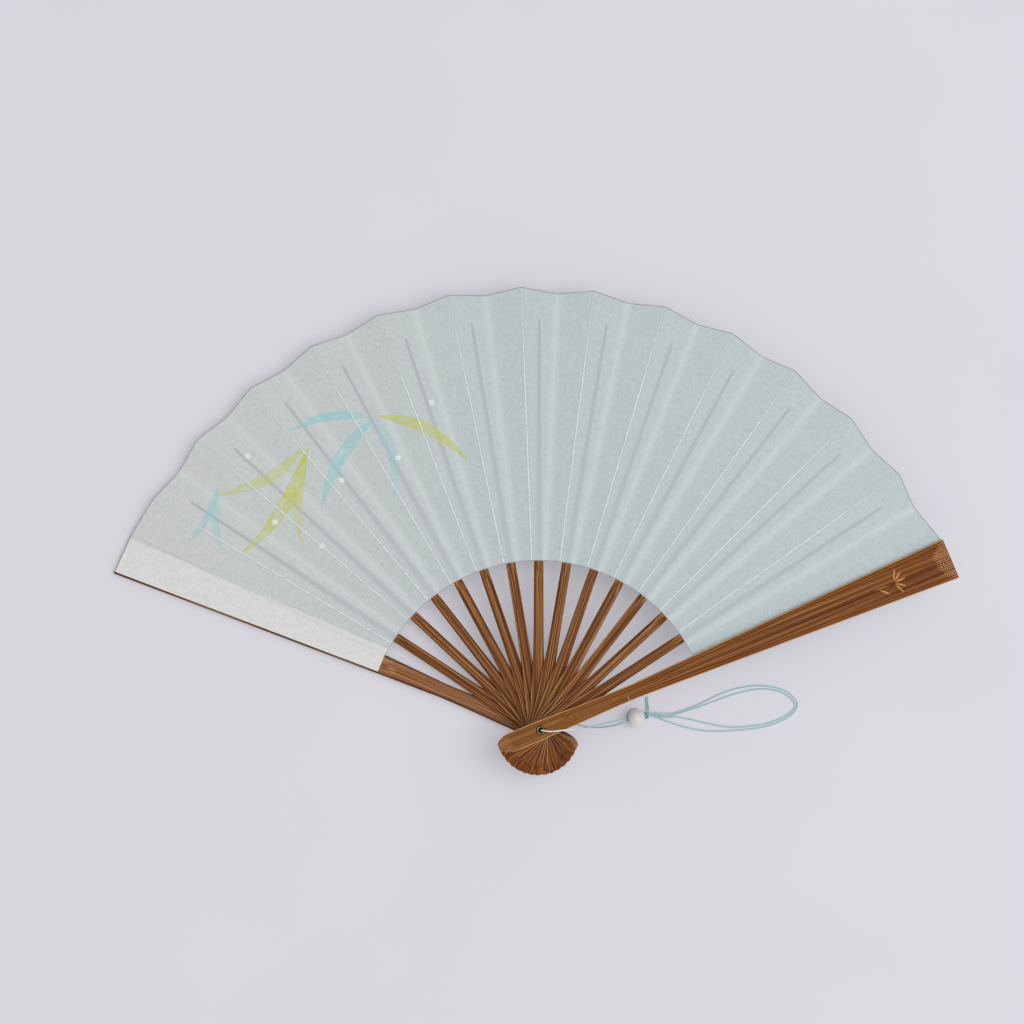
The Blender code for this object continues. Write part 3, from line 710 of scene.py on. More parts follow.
def blade_swell(point, rib):
    """How much of the full swelling the blade of a rib gives at a point, from 0 to 1."""
    local = on_fan(rib_turn(rib)).inverted() @ point
    share = min((local.x - SHOULDER_REACH) / (BLADE_REACH - SHOULDER_REACH), 1)
    half_width = between(*BLADE_WIDTHS, share) / 2
    beside = 1 - ease(half_width + SWELL_EDGE[0], half_width + SWELL_EDGE[1], abs(local.y))
    before_end = 1 - ease(BLADE_REACH, BLADE_REACH + SWELL_END_RUN, local.x)
    return between(*BLADE_THICKNESSES, share) / SWELL * beside * before_end


over_blade = on_fan(rib_turn(1)) @ Vector((BLADE_REACH / 2, 0, 0))
print("halfway out the leaf swells by, mm:", in_mm([SWELL * blade_swell(over_blade, 1)]))

# %% Shape one strip of paper
COLUMNS = 32
ROWS = 36
WAVE_HEIGHT = 0.07 * MM
WAVE_LENGTH = 28 * MM
WAVE_SHIFT = 7.3 * MM


def paper_strip(name, left, right, folds, rib=None):
    """A strip of paper between two lines, with its underside and its cut edges as further finishes."""
    grid = bpy.ops.mesh.primitive_grid_add
    strip = add_shape(name, grid, x_subdivisions=COLUMNS, y_subdivisions=ROWS, size=1)
    to_edge, swells = [], []
    for vertex in strip.data.vertices:
        across = (1 - math.cos(math.pi * (vertex.co.x + 0.5))) / 2
        outward = vertex.co.y + 0.5
        start, end = left(outward), right(outward)
        point = start.lerp(end, across)
        width = (end - start).length
        reach = (point - Vector((0, EYELET_Y, point.z))).length
        point.z += fold_ease(folds[0], across * width, width, reach)
        point.z += fold_ease(folds[1], (1 - across) * width, width, reach)
        if "glued" not in folds:
            wave = noise.noise(Vector((point.x, point.y, WAVE_SHIFT * (rib or 0))) / WAVE_LENGTH)
            point.z += WAVE_HEIGHT * wave * math.sin(math.pi * across)
        vertex.co = point
        to_edge.append((1 - outward) * (MOUNTAIN_REACH - LEAF_INNER_REACH))
        swells.append(blade_swell(point, rib) if rib else 0)
    keep_value(strip, "paper_edge", to_edge)
    settings = {"thickness": PAPER, "offset": 0, "material_offset": 1, "material_offset_rim": 2}
    if rib:
        swelling = strip.vertex_groups.new(name="swelling")
        for index, swell in enumerate(swells):
            swelling.add([index], swell, "REPLACE")
        full = PAPER + SWELL
        settings |= {"thickness": full, "vertex_group": "swelling", "thickness_vertex_group": PAPER / full}
    finish_with(strip, "SOLIDIFY", **settings)
    smooth(strip)
    return strip


# %% Lay out the leaf
panels, pleats = [], []
for i in range(1, RIB_COUNT + 1):
    panels.append(paper_strip(f"leaf_panel_{i:02d}", mountain(i), valley(i), ("mountain", "valley"), rib=i))
for i in range(RIB_COUNT + 1):
    left = (valley(i), "valley") if i else (rear_fold, "glued")
    right = (mountain(i + 1), "mountain") if i < RIB_COUNT else (front_fold, "glued")
    pleats.append(paper_strip(f"leaf_fold_{i:02d}", left[0], right[0], (left[1], right[1])))
rear_band = paper_strip("leaf_end_band_rear", rear_far_edge, rear_edge, ("glued", "glued"))
front_band = paper_strip("leaf_end_band_front", front_edge, front_far_edge, ("glued", "glued"))
print("leaf strips:", len(panels) + len(pleats) + 2, "of", len(panels[0].data.polygons), "faces")

# %% [markdown]
# An eyelet is pressed from thin brass tube. One end is rolled over into a round flange and, once it is
# through all the sticks, the other end is spread over a washer. A tube is added, and each open end is
# extruded and resized ring by ring into its rolled rim. Solidify then gives the wall its thickness.

# %% The eyelet
BARREL_RADIUS = 1.12 * MM
EYELET_WALL = 0.22 * MM
ROLL_START = 0.3 * MM
FLANGE_ROLL = ((1.22, -0.14), (1.42, -0.05), (1.62, -0.06), (1.76, -0.13), (1.82, -0.22))
CLINCH_ROLL = ((1.2, 0.15), (1.36, 0.1), (1.54, 0.13), (1.6, 0.2))
eyelet_low, eyelet_high = (corner.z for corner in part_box("eyelet"))
eyelet_middle = (eyelet_low + eyelet_high) / 2
eyelet = add_shape(
    "eyelet_ring",
    bpy.ops.mesh.primitive_cylinder_add,
    vertices=64,
    radius=BARREL_RADIUS,
    depth=eyelet_high - eyelet_low - 2 * ROLL_START,
    end_fill_type="NOTHING",
    location=(0, EYELET_Y, eyelet_middle),
)


def on_ring(point, radius, height):
    off = Vector((point.co.x, point.co.y - EYELET_Y)).length - radius
    return abs(off) < TOUCH and abs(point.co.z - height) < TOUCH


bpy.ops.object.mode_set(mode="EDIT")
for end, roll in ((eyelet_high, FLANGE_ROLL), (eyelet_low, CLINCH_ROLL)):
    radius = BARREL_RADIUS
    height = end + math.copysign(ROLL_START, eyelet_middle - end)
    for next_radius, drop in roll:
        pick(eyelet, "EDGE", lambda edge: all(on_ring(point, radius, height) for point in edge.verts))
        bpy.ops.mesh.extrude_region_move(TRANSFORM_OT_translate={"value": (0, 0, end + drop * MM - height)})
        growth = next_radius * MM / radius
        middle = (0, EYELET_Y, end + drop * MM)
        bpy.ops.transform.resize(value=(growth, growth, 1), center_override=middle)
        radius, height = next_radius * MM, end + drop * MM
bpy.ops.mesh.select_all(action="SELECT")
bpy.ops.mesh.normals_make_consistent(inside=False)
bpy.ops.object.mode_set(mode="OBJECT")
finish_with(eyelet, "SOLIDIFY", thickness=EYELET_WALL, offset=0)
smooth(eyelet, 50)
print("eyelet", len(eyelet.data.polygons), "faces, spans, mm:", in_mm(eyelet.dimensions))

# %% [markdown]
# The bead is a round stone bead with a bored hole that runs down towards the knot. A sphere is bored by a
# cylinder that is laid along the bore, and the hole's sharp rim is then rounded with a small bevel.

# %% The bead
BEAD_BORE = 0.95 * MM
BEAD_ROUND = 0.18 * MM
bead_place = on_fan() @ BEAD_CENTRE
sphere = bpy.ops.mesh.primitive_uv_sphere_add
bead = add_shape("round_bead", sphere, segments=64, ring_count=32, radius=BEAD_RADIUS, location=bead_place)
bore_turn = Vector((0, 0, 1)).rotation_difference(along_bore).to_euler()
drill(bead, 40, radius=BEAD_BORE, depth=3 * BEAD_RADIUS, location=bead_place, rotation=bore_turn)
round_edges(bead, BEAD_ROUND, 3, 40)
smooth(bead, 50)
print("bead", len(bead.data.polygons), "faces")

# %% [markdown]
# A finish is worked out from fields: values that change over the surface. In Blender a field is the socket
# of a node, and each sum with it is one more Math node. The small class below adds those nodes whenever
# fields are added, multiplied or compared, so that a finish can be written as its sums are said. A colour is
# written as the eye reads it, from 0 to 255, and turned into the linear values that shaders use.

# %% Fields and their sums
def tint(red, green, blue):
    return (*(((value / 255 + 0.055) / 1.055) ** 2.4 for value in (red, green, blue)), 1)


def feed(node, feeds):
    """Sets a node's inputs. Each is fed a plain value, or the field that drives it."""
    for key, value in dict(feeds).items():
        if isinstance(value, Field):
            node.id_data.links.new(value.socket, node.inputs[key])
        else:
            node.inputs[key].default_value = value


def add(tree, kind, feeds=(), output=0, **settings):
    """Adds a node with its settings, and gives one of its outputs as a field."""
    node = tree.nodes.new("ShaderNode" + kind)
    for key, value in settings.items():
        setattr(node, key, value)
    feed(node, feeds)
    return Field(node.outputs[output])


class Field:
    """A value that changes over the surface."""

    def __init__(self, socket):
        self.socket = socket
        self.tree = socket.id_data

    def reckon(self, operation, *others):
        return add(self.tree, "Math", enumerate((self, *others)), operation=operation)


for word, operation in (
    ("__add__", "ADD"),
    ("__sub__", "SUBTRACT"),
    ("__mul__", "MULTIPLY"),
    ("__truediv__", "DIVIDE"),
    ("__pow__", "POWER"),
    ("__abs__", "ABSOLUTE"),
    ("at_least", "MAXIMUM"),
    ("at_most", "MINIMUM"),
    ("sine", "SINE"),
    ("square_root", "SQRT"),
):
    setattr(Field, word, functools.partialmethod(Field.reckon, operation))


def outputs_of(node):
    """All the outputs of a node as fields, by name."""
    return {socket.name: Field(socket) for socket in node.outputs}


def split(place):
    """The X, Y and Z of a place."""
    return list(outputs_of(add(place.tree, "SeparateXYZ", {0: place}).socket.node).values())


def reckon_place(operation, place, other, output=0):
    return add(place.tree, "VectorMath", {0: place, 1: other}, output, operation=operation)


def turn_to(place, centre, turn):
    """The same place, seen from a centre and along a turn."""
    return add(place.tree, "Mapping", {0: place, 1: centre, 2: turn}, vector_type="TEXTURE")


def mottle(place, scale, detail, roughness=0.5, distortion=0.0):
    feeds = {"Vector": place, "Scale": scale, "Detail": detail, "Roughness": roughness}
    return add(place.tree, "TexNoise", {**feeds, "Distortion": distortion})


def rescale(value, low, high, new_low=0.0, new_high=1.0, kind="SMOOTHSTEP"):
    feeds = {"Value": value, "From Min": low, "From Max": high, "To Min": new_low, "To Max": new_high}
    return add(value.tree, "MapRange", feeds, interpolation_type=kind)


def fade(value, low, high, most=1.0):
    return rescale(value, low, high, most, 0.0)


def blend(share, colour, other, kind="MIX"):
    return add(share.tree, "Mix", {0: share, 6: colour, 7: other}, 2, data_type="RGBA", blend_type=kind)


def bump(height, strength, distance):
    return add(height.tree, "Bump", {"Strength": strength, "Distance": distance, "Height": height})


# %% [markdown]
# An effect that several finishes share, such as the grain of the wood, is a node group with named sockets,
# built once. A finish is a material whose Principled shader is fed by such effects and by plain values.

# %% Helpers for effects and finishes
def new_effect(name, takes, gives):
    """A node group with named sockets: its inputs by name, and its output node."""
    tree = bpy.data.node_groups.new(name, "ShaderNodeTree")
    for socket_name, kind in takes.items():
        tree.interface.new_socket(socket_name, in_out="INPUT", socket_type="NodeSocket" + kind)
    for socket_name in gives:
        tree.interface.new_socket(socket_name, in_out="OUTPUT", socket_type="NodeSocketFloat")
    return outputs_of(tree.nodes.new("NodeGroupInput")), tree.nodes.new("NodeGroupOutput")


def close_effect(gives, feeds):
    feed(gives, feeds)
    tree = gives.id_data
    print("effect", tree.name, "of", len(tree.nodes), "nodes")
    return tree


def use_effect(effect, place, feeds=()):
    """Places an effect in a finish, and returns what it gives by name."""
    return outputs_of(add(place.tree, "Group", {"Place": place, **dict(feeds)}, node_tree=effect).socket.node)


def new_finish(name, kind="TexCoord", output="Object", **settings):
    """A material, and the place at which its effects are read."""
    material = bpy.data.materials.new(name)
    material.use_nodes = True
    return material, add(material.node_tree, kind, (), output, **settings)


def shade(material, feeds):
    """Feeds the Principled shader of a finish."""
    feed(material.node_tree.nodes["Principled BSDF"], feeds)
    print("finish", material.name, "of", len(material.node_tree.nodes), "nodes")


# %% [markdown]
# On the real leaf everything follows the rays of the fan: the ribs show through as darker bands, and the
# folds catch a thin line of light. So one effect measures how far a point is from the nearest of a set of
# rays and how far out it lies. It works in polar coordinates round the eyelet, which ride with each piece.

# %% Effect: ray distance
ray_takes = {"Place": "Vector", "First Turn": "Float", "Last Number": "Float"}
takes, gives = new_effect("ray distance", ray_takes, ("Distance", "Reach"))
x, y, _ = split(takes["Place"])
height = y - EYELET_Y
steps = (takes["First Turn"] - height.reckon("ARCTAN2", x)) / RIB_PITCH
nearest = steps.reckon("ROUND").at_least(0.0).at_most(takes["Last Number"])
off = (steps - nearest) * RIB_PITCH
reach = (x**2.0 + height**2.0).square_root()
ray_distance = close_effect(gives, {"Distance": abs(off.sine() * reach), "Reach": reach})

# %% [markdown]
# Handmade paper is cloudy rather than flat: fibres lie in drifts that are a little lighter or darker, with a
# fine tooth that only a raking light shows. Two noises of different size give both, one for the colour and
# one for the bump. A third is drawn out sideways, as the fibres are when the sheet is laid.

# %% Effect: paper fibre
takes, gives = new_effect("paper fibre", {"Place": "Vector"}, ("Cloud", "Laid", "Tooth"))
place = takes["Place"]
laid = mottle(reckon_place("MULTIPLY", place, (420.0, 1500.0, 420.0)), 1.0, 3.0, 0.6, 0.8)
cloud = mottle(place, 760.0, 4.0, 0.7)
paper_fibre = close_effect(gives, {"Cloud": cloud, "Laid": laid, "Tooth": mottle(place, 2300.0, 3.0, 0.6)})

# %% [markdown]
# The leaf is brightened with a few brush strokes: slender leaves in soft teal and yellow green. A stroke is
# set by its root, its turn, its length and width and how much it bends. Its outline is a sine that narrows
# at both ends, roughened by noise, and the paint is stronger along its edge, as it is where a wash dries.
# The blossoms between the leaves are discs whose edge swings in and out five times.

# %% Effect: brush leaf
stroke_takes = {"Place": "Vector", "Root": "Vector", "Turn": "Vector"}
stroke_takes |= {"Length": "Float", "Width": "Float", "Bend": "Float"}
takes, gives = new_effect("brush leaf", stroke_takes, ("Paint",))
place = takes["Place"]
x, y, _ = split(turn_to(place, takes["Root"], takes["Turn"]))
wobble = (mottle(place, 420.0, 3.0) - 0.5) * (1.3 * MM)
along = x / takes["Length"]
inside = along.reckon("GREATER_THAN", 0.0) * along.reckon("LESS_THAN", 1.0)
middle = (along - along * along) * 4.0 * takes["Bend"]
swell = (along.at_least(0.0).at_most(1.0) ** 0.75 * math.pi).sine()
within = swell * (takes["Width"] * 0.5) + wobble - abs(y - middle)
wash = rescale(mottle(place, 230.0, 4.0, distortion=1.2), 0.35, 0.65, 0.35, 0.85)
dried = fade(within, 0.35 * MM, 0.9 * MM)
paint = rescale(within, 0.0, 0.35 * MM) * wash.at_least(dried) * inside
brush_leaf = close_effect(gives, {"Paint": paint})

# %% Effect: blossom
BLOSSOM_REACH = 1.5 * MM
takes, gives = new_effect("blossom", {"Place": "Vector", "Centre": "Vector"}, ("Paint",))
x, y, _ = split(reckon_place("SUBTRACT", takes["Place"], takes["Centre"]))
petal = abs((y.reckon("ARCTAN2", x) * 2.5).reckon("COSINE"))
outline = rescale(petal, 0.0, 1.0, 0.7 * BLOSSOM_REACH, BLOSSOM_REACH, "LINEAR")
paint = rescale(outline - (x**2.0 + y**2.0).square_root(), -0.1 * MM, 0.4 * MM, 0.0, 0.75)
blossom = close_effect(gives, {"Paint": paint})

# %% [markdown]
# Bamboo is a bundle of long straight fibres, so its grain is noise drawn out a hundredfold along the stick.
# Each stick carries its own place as an attribute, which it keeps when it is copied and turned, so one
# effect serves all of them. Band is the slow change of colour, Streak the fibres, and Pore the fine dark
# pits, which the bump reads too.

# %% Effect: bamboo grain
FIBRE_PITCH = 0.95 * MM
takes, gives = new_effect("bamboo grain", {"Place": "Vector", "Seed": "Float"}, ("Band", "Streak", "Pore"))
place, seed = takes["Place"], takes["Seed"]
shift = add(place.tree, "CombineXYZ", {0: seed, 1: seed, 2: seed})


def drawn_out(along, across, detail):
    stretched = reckon_place("MULTIPLY", place, (along, across, across))
    return mottle(reckon_place("ADD", stretched, shift), 1.0, detail)


band = drawn_out(7.0, 520.0, 2.0)
_, y, z = split(place)
fibres = ((y + z) * (2 * math.pi / FIBRE_PITCH) + band * 16.0).sine()
streak = drawn_out(9.0, 2000.0, 1.0) + fibres * 0.09
grain = {"Band": band, "Streak": streak, "Pore": drawn_out(60.0, 4600.0, 1.0)}
bamboo_grain = close_effect(gives, grain)

# %% [markdown]
# The printed front of the leaf is a cool pale mint, greyer towards the rear guard. The painting is a table
# of strokes: root, turn in degrees, length, width, bend, paint and strength, in millimetres from the middle
# of the fan.

# %% Colours and painting of the leaf
MINT = tint(178, 187, 188)
MINT_LIGHT = tint(190, 199, 200)
GREY_MINT = tint(193, 193, 191)
GREY_MINT_LIGHT = tint(206, 206, 204)
VALLEY_HIGHLIGHT = tint(201, 209, 209)
RIB_SHADE = tint(172, 176, 180)
FOLD_LIGHT = tint(223, 231, 231)
FOLD_SHADE = tint(166, 175, 176)
RIM_SHADE = tint(112, 110, 100)
WHITE_PAPER = tint(206, 206, 205)
WHITE_PAPER_LIGHT = tint(218, 218, 217)
TEAL = tint(142, 196, 198)
LEAF_GREEN = tint(188, 192, 84)
LEAF_STROKES = (
    ((-100, 34), -152, 44, 5.0, 4.5, LEAF_GREEN, 0.75),
    ((-99, 33), -122, 54, 6.2, 5.0, LEAF_GREEN, 0.95),
    ((-98, 34), -92, 44, 5.0, -4.0, LEAF_GREEN, 0.7),
    ((-72, 47), -168, 38, 4.2, -4.0, TEAL, 0.85),
    ((-71, 46), -118, 46, 5.4, -4.5, TEAL, 0.95),
    ((-70, 47), -78, 38, 4.4, 4.0, TEAL, 0.6),
    ((-69, 48), -28, 46, 5.0, 5.0, LEAF_GREEN, 0.9),
    ((-137, 16), -118, 27, 3.4, 2.5, TEAL, 0.8),
    ((-136, 16), -84, 30, 3.6, -2.6, TEAL, 0.6),
)
BLOSSOMS = ((-124, 30), (-112, 2), (-84, 20), (-60, 30), (-46, 54), (-92, -8))


def painted(place, colour):
    for (x, y), degrees, length, width, bend, paint, strength in LEAF_STROKES:
        feeds = {"Root": (x * MM, y * MM, 0), "Turn": (0, 0, math.radians(degrees))}
        feeds |= {"Length": length * MM, "Width": width * MM, "Bend": bend * MM}
        colour = blend(use_effect(brush_leaf, place, feeds)["Paint"] * strength, colour, paint)
    for x, y in BLOSSOMS:
        petals = use_effect(blossom, place, {"Centre": (x * MM, y * MM, 0)})["Paint"]
        colour = blend(petals, colour, FOLD_LIGHT)
    return colour


print(len(LEAF_STROKES), "strokes and", len(BLOSSOMS), "blossoms")

# %% [markdown]
# The front's finish is laid down in the order of the real one: the tint of the paper, a painted soft
# highlight along each valley, the soft darker bands of the ribs behind it, which are painted shade, the
# painting, a thin painted shade beside each mountain, a thin light line on each mountain and a fainter one
# in each valley, which are painted highlights, the one on the mountain partly a crease worn paler, the
# white end paper by the rear guard, and a thin dark rim of painted shade between the plies.

# %% Finish: the front of the leaf
WHITE_BAND_EDGE = -7.1 * MM
GREY_FROM, GREY_TO = -0.17, 0.02
LEAF_DEPTH = MOUNTAIN_REACH - LEAF_INNER_REACH
FADE_RUN = 45 * MM
TOOTH = (0.35, 0.1 * MM)
front_paper, place = new_finish("front_paper")
fibre = use_effect(paper_fibre, place)


def rays(turn):
    """How far a point is from the nearest of the rays that lie a turn away from the ribs."""
    return use_effect(ray_distance, place, {"First Turn": rib_turn(1) + turn, "Last Number": RIB_COUNT - 1})


def line_on(rays, near, far, strength, colour, tone):
    """A line along each ray, full within near millimetres and gone at far."""
    return blend(fade(rays["Distance"], near * MM, far * MM, strength), colour, tone)


behind, crest, trough = rays(0), rays(PANEL_TURN), rays(-PANEL_TURN)
cloudy = rescale(fibre["Cloud"], 0.3, 0.7)
mint = blend(cloudy, MINT, MINT_LIGHT)
grey_mint = blend(cloudy, GREY_MINT, GREY_MINT_LIGHT)
colour = blend(fade(split(place)[0], GREY_FROM, GREY_TO, 0.75), mint, grey_mint)
# A painted soft highlight along each valley, where the curved paper catches the light.
colour = line_on(trough, 0.0, 3.2, 0.45, colour, VALLEY_HIGHLIGHT)
share = rescale(behind["Reach"], LEAF_INNER_REACH, BLADE_REACH, kind="LINEAR")
half = rescale(share, 0.0, 1.0, 1.3 * MM, 0.55 * MM, "LINEAR")
soft = rescale(share, 0.0, 1.0, 1.1 * MM, 0.32 * MM, "LINEAR")
shadow = fade(behind["Distance"] - half, soft * -1.0, soft, 0.8)
shadow = shadow * rescale(share, 0.0, 1.0, 0.75, 1.3, "LINEAR")
ended = fade(behind["Reach"], BLADE_REACH - 1.0 * MM, BLADE_REACH + 1.2 * MM)
colour = painted(place, blend(shadow * ended, colour, RIB_SHADE))
colour = blend(rescale(fibre["Laid"], 0.3, 0.7, 0.0, 0.3), colour, MINT_LIGHT, "SOFT_LIGHT")
# A thin painted shade beside each mountain, and a fainter painted highlight along each valley.
colour = line_on(crest, 0.3, 1.0, 0.35, colour, FOLD_SHADE)
colour = line_on(trough, 0.1, 0.45, 0.12, colour, FOLD_LIGHT)
edge = add(place.tree, "Attribute", output="Fac", attribute_name="paper_edge")
# A thin painted highlight along each mountain, where the sharp crease catches the light, partly the crease
# worn paler; it is broken up by the paper's cloud and fainter towards the outer edge.
crest_highlight = fade(crest["Distance"], 0.12 * MM, 0.32 * MM)
crest_highlight = crest_highlight * rescale(fibre["Cloud"], 0.38, 0.6, 0.45, 1.0)
crest_highlight = crest_highlight * rescale(edge, 0.0, FADE_RUN, 0.4, 1.0)
colour = blend(crest_highlight, colour, FOLD_LIGHT)
beside_guard = split(turn_to(place, (0, EYELET_Y, 0), (0, 0, REAR_TURN)))[1]
white = rescale(beside_guard, WHITE_BAND_EDGE - 0.4 * MM, WHITE_BAND_EDGE + 0.5 * MM)
colour = blend(white, colour, blend(cloudy, WHITE_PAPER, WHITE_PAPER_LIGHT))
# Painted shade between the two plies, as a thin dark line along the outer and the inner cut edge.
outer_rim_shade = fade(edge, 0.15 * MM, 0.5 * MM, 0.7)
inner_rim_shade = rescale(edge, LEAF_DEPTH - 0.45 * MM, LEAF_DEPTH - 0.15 * MM, 0.0, 0.45)
colour = blend(outer_rim_shade.at_least(inner_rim_shade), colour, RIM_SHADE)
matt_paper = {"Roughness": 0.85, "Specular IOR Level": 0.25, "Normal": bump(fibre["Tooth"], *TOOTH)}
shade(front_paper, {"Base Color": colour, **matt_paper})

# %% Finish: the back of the leaf and its cut edges
back_paper, place = new_finish("back_paper")
fibre = use_effect(paper_fibre, place)
colour = blend(rescale(fibre["Cloud"], 0.3, 0.7), tint(196, 203, 203), tint(206, 210, 209))
shade(back_paper, {"Base Color": colour, "Roughness": 0.9, "Normal": bump(fibre["Tooth"], *TOOTH)})

cut_paper, place = new_finish("cut_paper")
fibre = use_effect(paper_fibre, place)
colour = blend(fibre["Tooth"], tint(186, 188, 182), tint(222, 222, 216))
shade(cut_paper, {"Base Color": colour, "Roughness": 0.9})

# %% [markdown]
# The sticks are smoked bamboo: the outer skin is smooth, dark and a little glossy, the split inner side is
# paler, matter and more striped, and a fresh cut shows pale wood. The long edges of the skin show a golden
# strip between two dark lines, and its ends were shaved to a net of small pale fibre ends.

# %% Marks on bamboo
HATCH_RUN = 8.5 * MM
HATCH_STEP = 1.7 * MM
NODE_REACH = 39.2 * MM
PALE_WOOD = tint(214, 172, 122)
GOLDEN_SKIN = tint(148, 90, 28)
DARK_LINE = tint(78, 34, 4)
EDGE_SHADE = tint(66, 34, 16)
DARKENING_TINT = (0.92, 0.68, 0.36, 1)
print("hatched ends run for, mm:", in_mm([HATCH_RUN]))


def cut_ends(place, half_width, band):
    """Where the stick's ends were shaved across the grain: 1 on the fibre ends, 0 elsewhere."""
    x, y, _ = split(place)
    curve = (abs(y) / half_width) ** 2.4 * (0.8 * HATCH_RUN)
    out = x + (band - 0.5) * (4 * MM)
    tip = rescale(out - curve, TIP_REACH - HATCH_RUN, TIP_REACH - 0.7 * HATCH_RUN)
    tail = fade(out, 3.5 * MM - TAIL_REACH, 7.0 * MM - TAIL_REACH, 0.6)
    unrest = mottle(place, 500.0, 1.0) * (1.5 * MM)
    waves = []
    for tilt in (0.9, -0.9):
        waves.append(((x + y * tilt + unrest) * (2 * math.pi / HATCH_STEP)).sine())
    return tip.at_least(tail) * rescale(waves[0] * waves[1], 0.0, 0.7, 0.0, 0.64)


def edge_lines(colour, beside, band):
    """The skin along a guard's long edges: a golden strip with a dark line on each side of it."""
    uneven = beside + rescale(band, 0.3, 0.7, -0.4 * MM, 0.4 * MM, "LINEAR")
    colour = blend(fade(uneven, 1.9 * MM, 3.1 * MM, 0.6), colour, GOLDEN_SKIN)
    for value, middle, half in ((beside, 0.85 * MM, 0.35 * MM), (uneven, 1.9 * MM, 0.45 * MM)):
        line = fade(abs(value - middle), 0.3 * half, half)
        colour = blend(line * 0.85, colour, DARK_LINE)
    return colour


# %% [markdown]
# One function makes all the bamboo finishes. They read the same grain effect and differ in their three
# colours, their gloss, how far the fibres stand out, and how the long edges are marked: pale wood where a
# hand wears them, with a painted highlight where the rounded edge catches the light, or dark, which is
# painted shade. The side faces are painted dark as shade between the stacked sticks.

# %% Finish: bamboo
def bamboo_finish(name, colours, roughness, relief, stick=GUARD, skin=False, edge_mark=None):
    """Smoked bamboo for one side of a stick. Edge mark is the tone, width and strength of the mark along its
    long edges: wear and painted highlight where pale, painted shade where dark.
    """
    material, place = new_finish(name, "Attribute", "Vector", attribute_name="stick_place")
    seed = add(place.tree, "Attribute", output="Fac", attribute_name="stick_seed")
    dark, middle, light = (tint(*rgb) for rgb in colours)
    grain = use_effect(bamboo_grain, place, {"Seed": seed})
    band, streak, pore = grain["Band"], grain["Streak"], grain["Pore"]
    colour = blend(rescale(streak, 0.38, 0.48), dark, middle)
    colour = blend(rescale(streak, 0.53, 0.64), colour, light)
    colour = blend(fade(band, 0.36, 0.5, 0.2), colour, dark)
    colour = blend(rescale(band, 0.54, 0.68, 0.0, 0.2), colour, light)
    colour = blend(fade(pore, 0.34, 0.44, 0.6), colour, dark)
    x, y, _ = split(place)
    # On a rib, painted shade over its tail and head, where it lies stacked under the next ribs; on a guard,
    # darker towards the tip.
    darkening = fade(x, 0.0, 12 * MM, 0.85) if stick is RIB else rescale(x, 110 * MM, 180 * MM, 0.0, 0.6)
    colour = blend(darkening, colour, DARKENING_TINT, "MULTIPLY")
    growth = (stick.end_width - stick.waist_width) / 2
    half_width = rescale(x, -BULGE_REACH, WAIST_REACH, BULGE_WIDTH / 2, stick.waist_width / 2)
    half_width = half_width + rescale(x, WAIST_REACH, stick.end_reach, 0.0, growth, "LINEAR")
    beside = half_width - abs(y)
    if skin:
        colour = edge_lines(colour, beside, band)
        colour = blend(fade(x, 10 * MM, 50 * MM, 0.3), colour, light)
        colour = blend(cut_ends(place, half_width, band), colour, PALE_WOOD)
        node = fade(abs(x - NODE_REACH), 0.15 * MM, 0.4 * MM, 0.38)
        colour = blend(node * rescale(y, 0.8 * MM, 1.4 * MM), colour, PALE_WOOD)
    # Marks along the long edges: pale wear with a painted highlight on the guard's skin, painted shade on the
    # guard's inner face and along the ribs.
    if edge_mark:
        tone, width, strength = edge_mark
        # A rib's edges are pale near the eyelet and turn to painted shade further out.
        if stick is RIB:
            tone = blend(rescale(x, 18 * MM, 32 * MM), PALE_WOOD, tone)
        patchy = rescale(band, 0.35, 0.65, 0.5 * strength, strength)
        colour = blend(patchy * fade(beside, 0.6 * width, 1.4 * width), colour, tone)
    gloss = rescale(streak, 0.3, 0.7, roughness + 0.08, roughness - 0.06)
    relief = bump(pore, relief, 0.08 * MM)
    shade(material, {"Base Color": colour, "Roughness": gloss, "Specular IOR Level": 0.12, "Normal": relief})
    return material


SKIN_COLOURS = ((86, 44, 12), (114, 68, 26), (150, 100, 52))
INSIDE_COLOURS = ((120, 72, 38), (148, 102, 64), (176, 134, 96))
RIB_COLOURS = ((82, 44, 16), (118, 71, 32), (162, 111, 64))
# The side colours are dark, as painted shade in the gaps between the stacked sticks.
SHADED_SIDE_COLOURS = ((48, 22, 8), (76, 40, 16), (104, 62, 30))
CUT_COLOURS = ((184, 134, 82), (200, 156, 104), (212, 172, 122))
SKIN_EDGE_WEAR_AND_HIGHLIGHT = (PALE_WOOD, 0.3 * MM, 0.85)
INSIDE_EDGE_SHADE = (EDGE_SHADE, 0.9 * MM, 0.95)
RIB_EDGE_SHADE = (EDGE_SHADE, 0.22 * MM, 0.6)
bamboo_skin = bamboo_finish("bamboo_skin", SKIN_COLOURS, 0.5, 0.3, skin=True, edge_mark=SKIN_EDGE_WEAR_AND_HIGHLIGHT)
bamboo_inside = bamboo_finish("bamboo_inside", INSIDE_COLOURS, 0.6, 0.4, edge_mark=INSIDE_EDGE_SHADE)
bamboo_rib = bamboo_finish("bamboo_rib", RIB_COLOURS, 0.55, 0.4, RIB, edge_mark=RIB_EDGE_SHADE)
# The side faces of all the sticks are painted dark, as shade in the narrow gaps between the stacked sticks.
shaded_bamboo_side = bamboo_finish("shaded_bamboo_side", SHADED_SIDE_COLOURS, 0.55, 0.3)
carved_wood = bamboo_finish("carved_wood", CUT_COLOURS, 0.7, 0.3)

# %% [markdown]
# The small parts have their own finishes. The brass has dulled to a greenish gold and is dark round the
# outer edge of its flange. The cord is teal silk that has faded almost to white where it rubs on the head
# of the fan. The bead is cloudy white stone with a satin polish.

